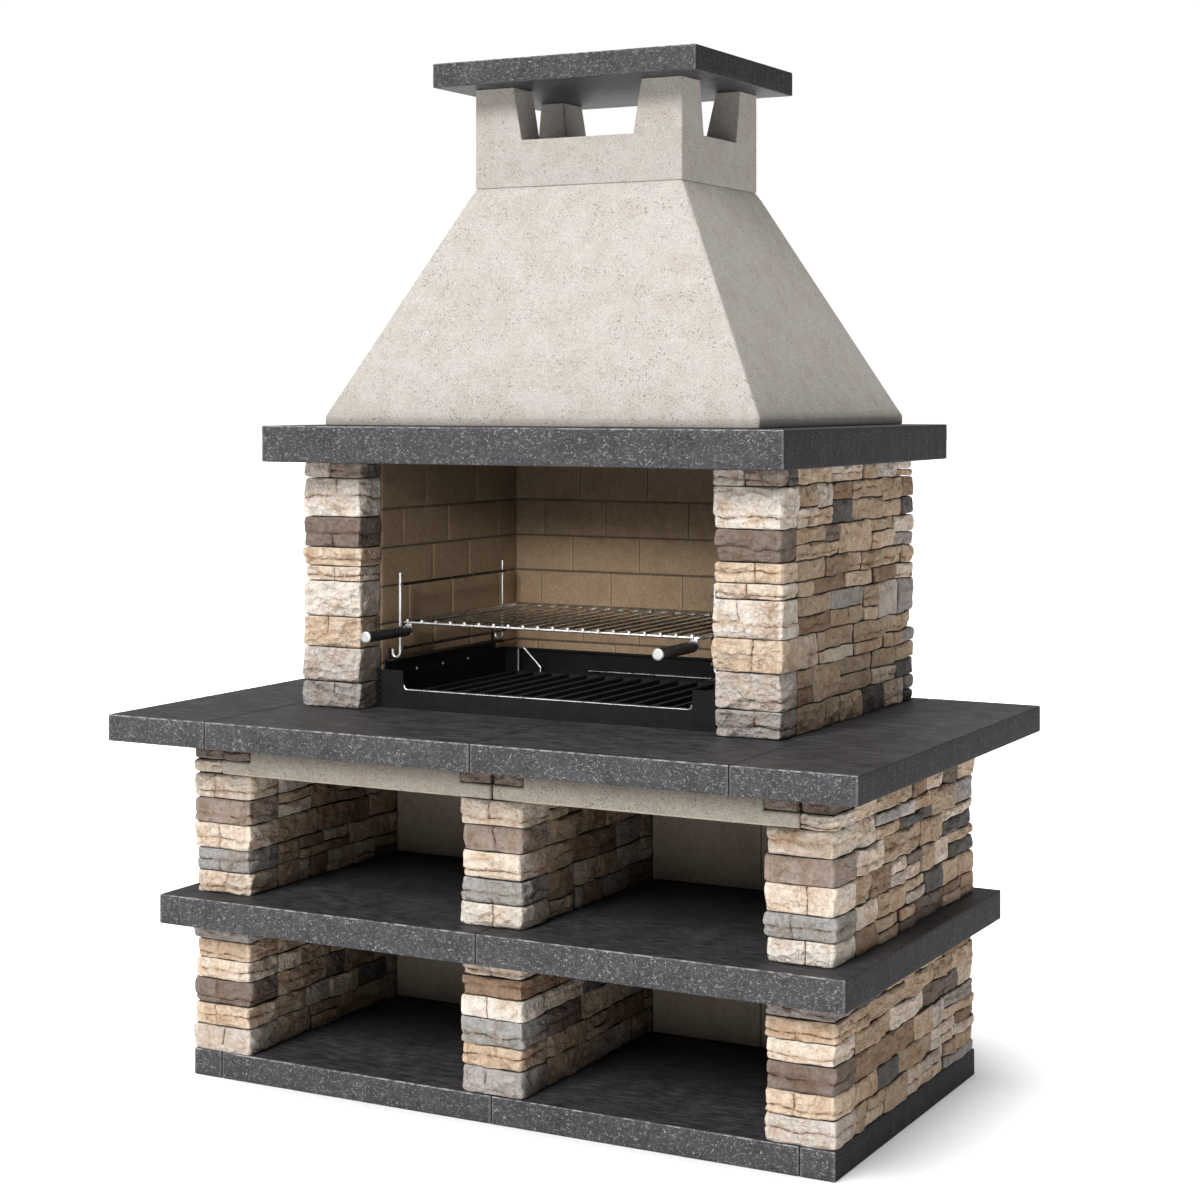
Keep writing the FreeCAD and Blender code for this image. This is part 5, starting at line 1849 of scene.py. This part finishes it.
@dataclass
class Chimney:
    """Mantel, hood, collar and cap.

    Fields:
        skirt: height of the hood's upright foot.
        arris: radius of the hood's arrises.
        flue_inset: points of the mantel further than this inside its ends belong to the flue.
    """

    finishes: Finishes
    hood_wall: float = 50 * MM
    skirt: float = 18 * MM
    arris: float = 5 * MM
    step: float = 14 * MM
    relief: float = 0.5 * MM
    relief_size: float = 90 * MM
    collar_arris: float = 3.5 * MM
    flue_inset: float = 30 * MM
    seed: int = 300

    def build(self) -> None:
        """Builds the chimney from the mantel up."""
        self.build_mantel()
        self.build_hood()
        ease("cast", self.finishes.collar, Spot(Slot.CAST, "chimney_collar"), self.collar_arris)
        Slab("chimney_cap", self.finishes, self.seed).build()

    def build_mantel(self) -> None:
        """Builds the mantel slab round its flue opening."""
        low, high = node_box("mantel")
        points = solid_points("mantel")[0]
        inside = np.abs(points[:, 0]) < high[0] - self.flue_inset
        flue_low, flue_high = points[inside].min(axis=0), points[inside].max(axis=0)
        store = MeshStore()
        Mason(SAWN_SLAB, self.seed + 1).dress(Block(low, high, ALL_SIDES), store, caps=False)
        ring = rounded_ring(flue_low[:2], flue_high[:2], 1 * MM, (6, 5))
        rims = [np.c_[ring, np.full(len(ring), z)] for z in (high[2], low[2])]
        first = store.add_points(np.concatenate(rims))
        store.add_rings(first, 2, len(ring))
        piece = store.install("mantel_stone", self.finishes.slab, Spot(Slot.SLAB, "mantel"))
        shape = bmesh.new()
        shape.from_mesh(piece.data)
        for z in (low[2], high[2]):
            rim = [e for e in shape.edges if e.is_boundary and all(abs(v.co.z - z) < TOUCH for v in e.verts)]
            filled = bmesh.ops.triangle_fill(shape, edges=rim, use_beauty=True, use_dissolve=False)
            for face in filled["geom"]:
                if isinstance(face, bmesh.types.BMFace):
                    face.smooth = False
        bmesh.ops.recalc_face_normals(shape, faces=shape.faces)
        shape.to_mesh(piece.data)
        shape.free()

    def build_hood(self) -> None:
        """Builds the hollow hood as rings that run up its outside and down its inside."""
        low, high = node_box("hood")
        neck_low, neck_high = node_box("chimney_collar")
        foot = low[2] + self.skirt
        along = (math.ceil((high[0] - low[0]) / self.step), math.ceil((high[1] - low[1]) / self.step))
        climb = np.linspace(0.0, 1.0, math.ceil((high[2] - foot) / self.step) + 1)
        soft = self.arris / 2
        outside = [(0.0, low[2], soft), (0.0, low[2] + soft, 0.0), (0.0, foot - soft, 0.0)]
        outside += [(share, foot + share * (high[2] - foot), 0.0) for share in climb[:-1]]
        outside += [(1.0, high[2] - soft, 0.0), (1.0, high[2], soft)]
        inside = [(1.0, high[2], self.hood_wall), (0.0, foot, self.hood_wall), (0.0, low[2], self.hood_wall)]
        rings, edges = [], []
        for share, z, inset in outside + inside:
            ring_low = low[:2] + share * (neck_low[:2] - low[:2]) + inset
            ring_high = high[:2] + share * (neck_high[:2] - high[:2]) - inset
            ring = rounded_ring(ring_low, ring_high, self.arris, along)
            rings.append(np.c_[ring, np.full(len(ring), z)])
            off_x = np.minimum(ring[:, 0] - ring_low[0], ring_high[0] - ring[:, 0])
            off_y = np.minimum(ring[:, 1] - ring_low[1], ring_high[1] - ring[:, 1])
            edges.append(np.clip(1.0 - np.maximum(off_x, off_y) / (2.0 * self.arris), 0.0, 1.0))
        points = np.concatenate(rings)
        centre = (low + high) / 2
        away = points - centre
        away[:, 2] = 0.0
        away /= np.linalg.norm(away, axis=1)[:, None]
        points += away * (self.relief * wave(points, self.relief_size, self.seed + 2))[:, None]
        store = MeshStore()
        first = store.add_points(points, edge=np.concatenate(edges))
        store.add_rings(first, len(rings), len(rings[0]), closed=True)
        store.install("hood_shell", self.finishes.cast, Spot(Slot.CAST, "hood"))


@dataclass
class CharcoalTray:
    """The tray with its rails, guards, bolts and racks, and the grate that lies in it.

    Fields:
        sole_gap: room between the tray's underside and the worktop, on which it slides.
        post: diameter of the racks' posts.
        rail: diameter of their rails.
        curl: radius of the posts' curled feet.
        curl_flat: straight part between the two bends of a curl.
        rail_drops: depth of each rail below the posts' tops.
        bail: diameter of the grate's bail.
        bolt_head: diameter of a bolt's domed head.
        bolt_neck: diameter of its neck, as a share of the head's.
        lip: height of the cut-down front.
        tab: width of the uprights beside it.
        bead: diameter of the bright beads.
        seam: height of the back bead above the tray's underside.
        seam_end: distance of its end from the tray's side.
    """

    finishes: Finishes
    sheet_arris: float = 0.9 * MM
    angle_arris: float = 0.7 * MM
    grate_arris: float = 1.3 * MM
    sole_gap: float = 0.25 * MM
    post: float = 7 * MM
    rail: float = 6 * MM
    curl: float = 8.5 * MM
    curl_flat: float = 1 * MM
    curl_tail: float = 8 * MM
    rail_drops: tuple[float, ...] = (151 * MM, 104 * MM, 23 * MM)
    bail: float = 5 * MM
    bolt_head: float = 7 * MM
    bolt_dome: float = 3 * MM
    bolt_neck: float = 0.55
    bolt_around: int = 16
    lip: float = 38 * MM
    tab: float = 50 * MM
    bead: float = 3.4 * MM
    bead_tail: float = 1 * MM
    seam: float = 34 * MM
    seam_end: float = 12 * MM

    def build(self) -> None:
        """Builds the tray and what it carries."""
        steel = self.finishes.steel
        self.ease_sole(ease("sheet", steel, Spot(Slot.STEEL, "charcoal_tray"), self.sheet_arris))
        self.build_beads()
        for side in ("left", "right"):
            for node in (f"{side}_rack_rail", f"{side}_gap_guard"):
                ease("steel", steel, Spot(Slot.STEEL, node), self.angle_arris)
            self.build_rack(side)
        self.build_bolts()
        ease("cast", self.finishes.iron, Spot(Slot.IRON, "charcoal_grate"), self.grate_arris)
        self.build_bail()

    def ease_sole(self, piece: Piece) -> None:
        """Lifts the tray's underside a hair off the worktop.

        Args:
            piece: the tray.
        """
        sole = min(point.co.z for point in piece.data.vertices)
        for point in piece.data.vertices:
            if point.co.z < sole + self.sole_gap:
                point.co.z += self.sole_gap

    def build_beads(self) -> None:
        """Builds the bright bead along the cut-down front and the one at the foot of the back wall."""
        low, high = node_box("charcoal_tray")
        half = high[0] - self.tab - self.bead / 2
        z = low[2] + self.lip
        front = low[1] + 0.5 * self.bead
        turn = 2.5 * self.bead
        end = z + turn + self.bead_tail
        corners = [(-half, front, end), (-half, front, z), (half, front, z), (half, front, end)]
        back = high[1] - 2.0 * self.bead
        seam = low[2] + self.seam
        line = np.array([(-0.5 * half, back, seam), (high[0] - self.seam_end, back, seam)])
        spot = Spot(Slot.STEEL, "charcoal_tray", True)
        tube("charcoal_tray_beads", [bent(corners, turn), line], self.bead / 2, self.finishes.chrome, spot)

    def build_rack(self, side: str) -> None:
        """Builds one wire rack: two posts with curled feet and the rails between them.

        Args:
            side: left or right.
        """
        node = f"{side}_rack"
        low, high = node_box(node)
        sign = -1.0 if side == "left" else 1.0
        outer = max(abs(low[0]), abs(high[0])) - self.post / 2
        inner = outer - 2 * self.curl - self.curl_flat
        rail_x = sign * (min(abs(low[0]), abs(high[0])) + self.rail / 2)
        foot = low[2] + self.post / 2
        tail = foot + self.curl + self.curl_tail
        bends = ((inner, high[2]), (inner, foot), (outer, foot), (outer, tail))
        posts = [
            bent([(sign * x, y, z) for x, z in bends], self.curl)
            for y in (low[1] + self.post / 2, high[1] - self.post / 2)
        ]
        tube(f"{node}_posts", posts, self.post / 2, self.finishes.rack, Spot(Slot.CHROME, node))
        rails = [
            np.array([(rail_x, y, high[2] - drop) for y in (low[1], high[1])]) for drop in self.rail_drops
        ]
        # The rails take the chrome with the painted dark reflection
        tube(f"{node}_rails", rails, self.rail / 2, self.finishes.smoked, Spot(Slot.CHROME, node, True))

    def build_bolts(self) -> None:
        """Builds the rails' bolts: a domed head on a neck, turned to face the tray's middle."""
        store = MeshStore()
        around = self.bolt_around
        dome = np.linspace(0.0, math.pi / 2, 6)[1:-1]
        radius = self.bolt_head / 2
        turns = np.arange(around) * 2.0 * math.pi / around
        for low, high in solid_boxes("rail_bolts"):
            middle = (low + high) / 2
            sign = -1.0 if middle[0] > 0 else 1.0
            tail, inner = (low[0], high[0]) if sign > 0 else (high[0], low[0])
            base = inner - sign * self.bolt_dome
            stations = [(tail, self.bolt_neck), (base, self.bolt_neck), (base, 1.0)]
            stations += [(base + sign * self.bolt_dome * math.sin(t), math.cos(t)) for t in dome]
            wheel = np.stack([np.zeros(around), np.cos(turns * sign), np.sin(turns * sign)], axis=1)
            rings = [np.array([x, middle[1], middle[2]]) + radius * share * wheel for x, share in stations]
            store.add_turned(rings)
        store.install("rail_bolts_domed", self.finishes.zinc, Spot(Slot.HARDWARE, "rail_bolts"))

    def build_bail(self) -> None:
        """Builds the bent wire that the grate is lifted by."""
        low, high = node_box("grate_bail")
        half = self.bail / 2
        y = (low[1] + high[1]) / 2
        left, right = low[0] + half, high[0] - half
        bow, top = left + (right - left) / 4, high[2] - half
        bends = ((left, low[2]), (left, top), (bow, top), (right, low[2] + 2 * self.bail), (right, low[2]))
        path = bent([(x, y, z) for x, z in bends], self.bail)
        tube("grate_bail_wire", [path], half, self.finishes.rack, Spot(Slot.CHROME, "grate_bail"))


@dataclass
class CookingGrill:
    """The wire grill with its handles.

    Fields:
        corner: radius of the frame's corners.
        rod: radius of the rod that holds a grip.
        grip_profile: place along a grip and its width there, as shares of its length and its radius.
        cap_profile: the same for a grip's end cap.
    """

    finishes: Finishes
    frame_wire: float = 6 * MM
    bar_wire: float = 5 * MM
    corner: float = 14 * MM
    rod: float = 4 * MM
    nut_arris: float = 0.6 * MM
    grip_profile: tuple[tuple[float, float], ...] = (
        (0.0, 0.86), (0.008, 0.95), (0.025, 1.0), (0.3, 0.985),
        (0.6, 0.99), (0.9, 1.0), (0.97, 0.96), (1.0, 0.8),
    )
    cap_profile: tuple[tuple[float, float], ...] = (
        (0.0, 0.55), (0.06, 0.8), (0.16, 0.92), (0.34, 1.0), (0.9, 1.0), (1.0, 0.95)
    )

    def build(self) -> None:
        """Builds the grill."""
        boxes = solid_boxes("cooking_grill")
        chrome = self.finishes.chrome
        low, high = boxes[0]
        half = self.frame_wire / 2
        z = (low[2] + high[2]) / 2
        x, front, back = high[0] - half, low[1] + half, high[1] - half
        corners = [(x, back, z), (x, front, z), (-x, front, z), (-x, back, z)]
        path = bent(corners, self.corner, closed=True)
        tube("cooking_grill_frame", [path], half, chrome, Spot(Slot.CHROME, "cooking_grill"), closed=True)
        bars = []
        for bar_low, bar_high in boxes[3:]:
            x, _, z = (bar_low + bar_high) / 2
            bars.append(np.array([(x, bar_low[1], z), (x, bar_high[1], z)]))
        spot = Spot(Slot.CHROME, "cooking_grill", True)
        tube("cooking_grill_bars", bars, self.bar_wire / 2, chrome, spot)
        self.build_tabs(boxes[1:3])
        for side in ("left", "right"):
            self.build_handle(side)
        ease("plated", self.finishes.zinc, Spot(Slot.HARDWARE, "handle_nuts"), self.nut_arris)

    def build_tabs(self, boxes: list[Box]) -> None:
        """Builds the plates under the frame that the handles are bolted to.

        Args:
            boxes: lowest and highest corner of each plate.
        """
        store = MeshStore()
        for number, (low, high) in enumerate(boxes):
            Mason(PLATE, number).dress(Block(low, high, ALL_SIDES), store)
        store.install("handle_tabs_plate", self.finishes.chrome, Spot(Slot.CHROME, "cooking_grill", True))

    def build_handle(self, side: str) -> None:
        """Turns one grip and its end cap.

        Args:
            side: left or right.
        """
        grip, cap = f"{side}_handle_grip", f"{side}_handle_cap"
        low, high = node_box(grip)
        x, _, z = (low + high) / 2
        radius, length = (high[0] - low[0]) / 2, high[1] - low[1]
        store = MeshStore()
        profile = [(share * length, width * radius) for share, width in self.grip_profile]
        turned(store, np.array([x, low[1], z]), profile)
        store.install(f"{grip}_turned", self.finishes.grip, Spot(Slot.GRIP, grip))
        cap_low, cap_high = node_box(cap)
        radius, depth = (cap_high[0] - cap_low[0]) / 2, low[1] - cap_low[1]
        store = MeshStore()
        profile = [(share * depth, width * radius) for share, width in self.cap_profile]
        profile += [(depth, self.rod), (cap_high[1] - cap_low[1], self.rod)]
        turned(store, np.array([x, cap_low[1], z]), profile)
        store.install(f"{cap}_turned", self.finishes.zinc, Spot(Slot.HARDWARE, cap))


@dataclass
class Studio:
    """The floor, the light and the camera.

    Fields:
        turn: the camera's turn about Z, in degrees.
        lens: focal length, in millimetres.
        sensor: width of the sensor, in millimetres.
        lift: vertical shift of the lens, as a share of the frame.
        ambient: strength of the light from all round.
        mirrored: its strength in reflections.
        shown: what is added to it where the camera sees it.
    """

    eye: Triple = (2.2264, -4.1256, 1.3604)
    turn: float = 28.0719
    lens: float = 70.106
    sensor: float = 36.0
    lift: float = -0.172044
    floor_reach: float = 60.0
    ambient: float = 0.12
    mirrored: float = 0.5
    shown: float = 0.9

    def build(self) -> None:
        """Sets up the studio."""
        self.build_camera()
        floor = self.build_floor()
        self.build_world()
        key = self.add_light("key", "SUN", (-0.48, -3.08, 2.48), angle=math.radians(25.0), energy=4.6)
        self.add_light("top", "SUN", (1.04, 0.0, 3.88), angle=math.radians(70.0), energy=0.9)
        beam = self.add_light(
            "firebox_spot",
            "SPOT",
            (0.95, -3.35, 1.9),
            target=(-0.14, 0.25, 0.8),
            spot_size=math.radians(15.0),
            spot_blend=0.9,
            shadow_soft_size=0.35,
            energy=700.0,
        )
        overhead = (-0.48, -0.8, 3.88)
        under = self.add_light("floor_light", "SUN", overhead, angle=math.radians(46.0), energy=5.2)
        self.link_light(key, [floor], "EXCLUDE")
        self.link_light(under, [floor], "INCLUDE")
        inside = tuple(
            node for node, body in BODY_OF.items() if body != "masonry" or node.endswith("fire_bricks")
        )
        lit = [piece for piece in bpy.data.objects if piece.name.startswith(inside)]
        self.link_light(beam, lit, "INCLUDE")
        bpy.context.scene.view_settings.view_transform = "Standard"

    def build_camera(self) -> None:
        """Places the camera level, at the photograph's viewing angle."""
        data = bpy.data.cameras.new("camera")
        data.sensor_width = self.sensor
        data.lens = self.lens
        data.shift_y = self.lift
        camera = linked("camera", data)
        camera.location = self.eye
        camera.rotation_euler = (math.pi / 2, 0.0, math.radians(self.turn))
        bpy.context.scene.camera = camera

    def build_floor(self) -> Piece:
        """Lays a plain pale floor."""
        mesh = bpy.data.meshes.new("floor")
        reach = self.floor_reach
        points = [(x * reach, y * reach, 0.0) for x, y in ((-1, -1), (1, -1), (1, 1), (-1, 1))]
        mesh.from_pydata(points, [], [range(len(points))])
        material = bpy.data.materials.new("pale_floor")
        material.use_nodes = True
        shader = material.node_tree.nodes["Principled BSDF"].inputs
        paint = {"Base Color": (0.95, 0.95, 0.95, 1.0), "Roughness": 0.9, "Specular IOR Level": 0.1}
        Graph(material.node_tree).fill(shader, paint)
        mesh.materials.append(material)
        floor = linked("floor", mesh)
        return floor

    def build_world(self) -> None:
        """Lights the scene softly from all round, in front of a white ground."""
        world = bpy.data.worlds.new("studio")
        world.use_nodes = True
        graph = Graph(world.node_tree)
        rays = graph.add("LightPath")
        strength = graph.spread(rays["Is Glossy Ray"], 0.0, 1.0, self.ambient, self.mirrored)
        strength = graph.plus(strength, graph.times(rays["Is Camera Ray"], self.shown))
        ground = world.node_tree.nodes["Background"].inputs
        graph.fill(ground, {"Color": (1.0, 1.0, 1.0, 1.0), "Strength": strength})
        bpy.context.scene.world = world

    @staticmethod
    def add_light(
        name: str, kind: str, place: Triple, target: Triple = (0.0, 0.0, 0.0), **settings: float
    ) -> Piece:
        """Adds a light.

        Args:
            name: its name.
            kind: its kind, SUN or SPOT.
            place: where it stands.
            target: the point that it faces.
            settings: its properties.

        Returns:
            The light.
        """
        data = bpy.data.lights.new(name, kind)
        for label, value in settings.items():
            setattr(data, label, value)
        light = linked(name, data)
        light.location = place
        x, y, z = (end - start for start, end in zip(place, target))
        pitch = math.atan2(z, math.hypot(x, y))
        light.rotation_euler = (math.pi / 2 + pitch, 0.0, math.atan2(y, x) - math.pi / 2)
        return light

    @staticmethod
    def link_light(light: Piece, pieces: list[Piece], state: str) -> None:
        """Keeps a light off some pieces, or on them alone.

        Args:
            light: the light.
            pieces: the pieces.
            state: EXCLUDE or INCLUDE.
        """
        receivers = bpy.data.collections.new(f"{light.name}_receivers")
        for piece in pieces:
            receivers.objects.link(piece)
        for member in receivers.collection_objects:
            member.light_linking.link_state = state
        light.light_linking.receiver_collection = receivers


def main() -> None:
    """Builds the barbecue in order and reports each piece."""
    logging.basicConfig(level=logging.INFO, format="%(name)s: %(message)s")
    finishes = Finishes()
    for assembly in (
        Base(finishes),
        Firebox(finishes),
        Chimney(finishes),
        CharcoalTray(finishes),
        CookingGrill(finishes),
        Studio(),
    ):
        LOG.info("building %s", type(assembly).__name__)
        assembly.build()


if __name__ == "__main__":
    main()
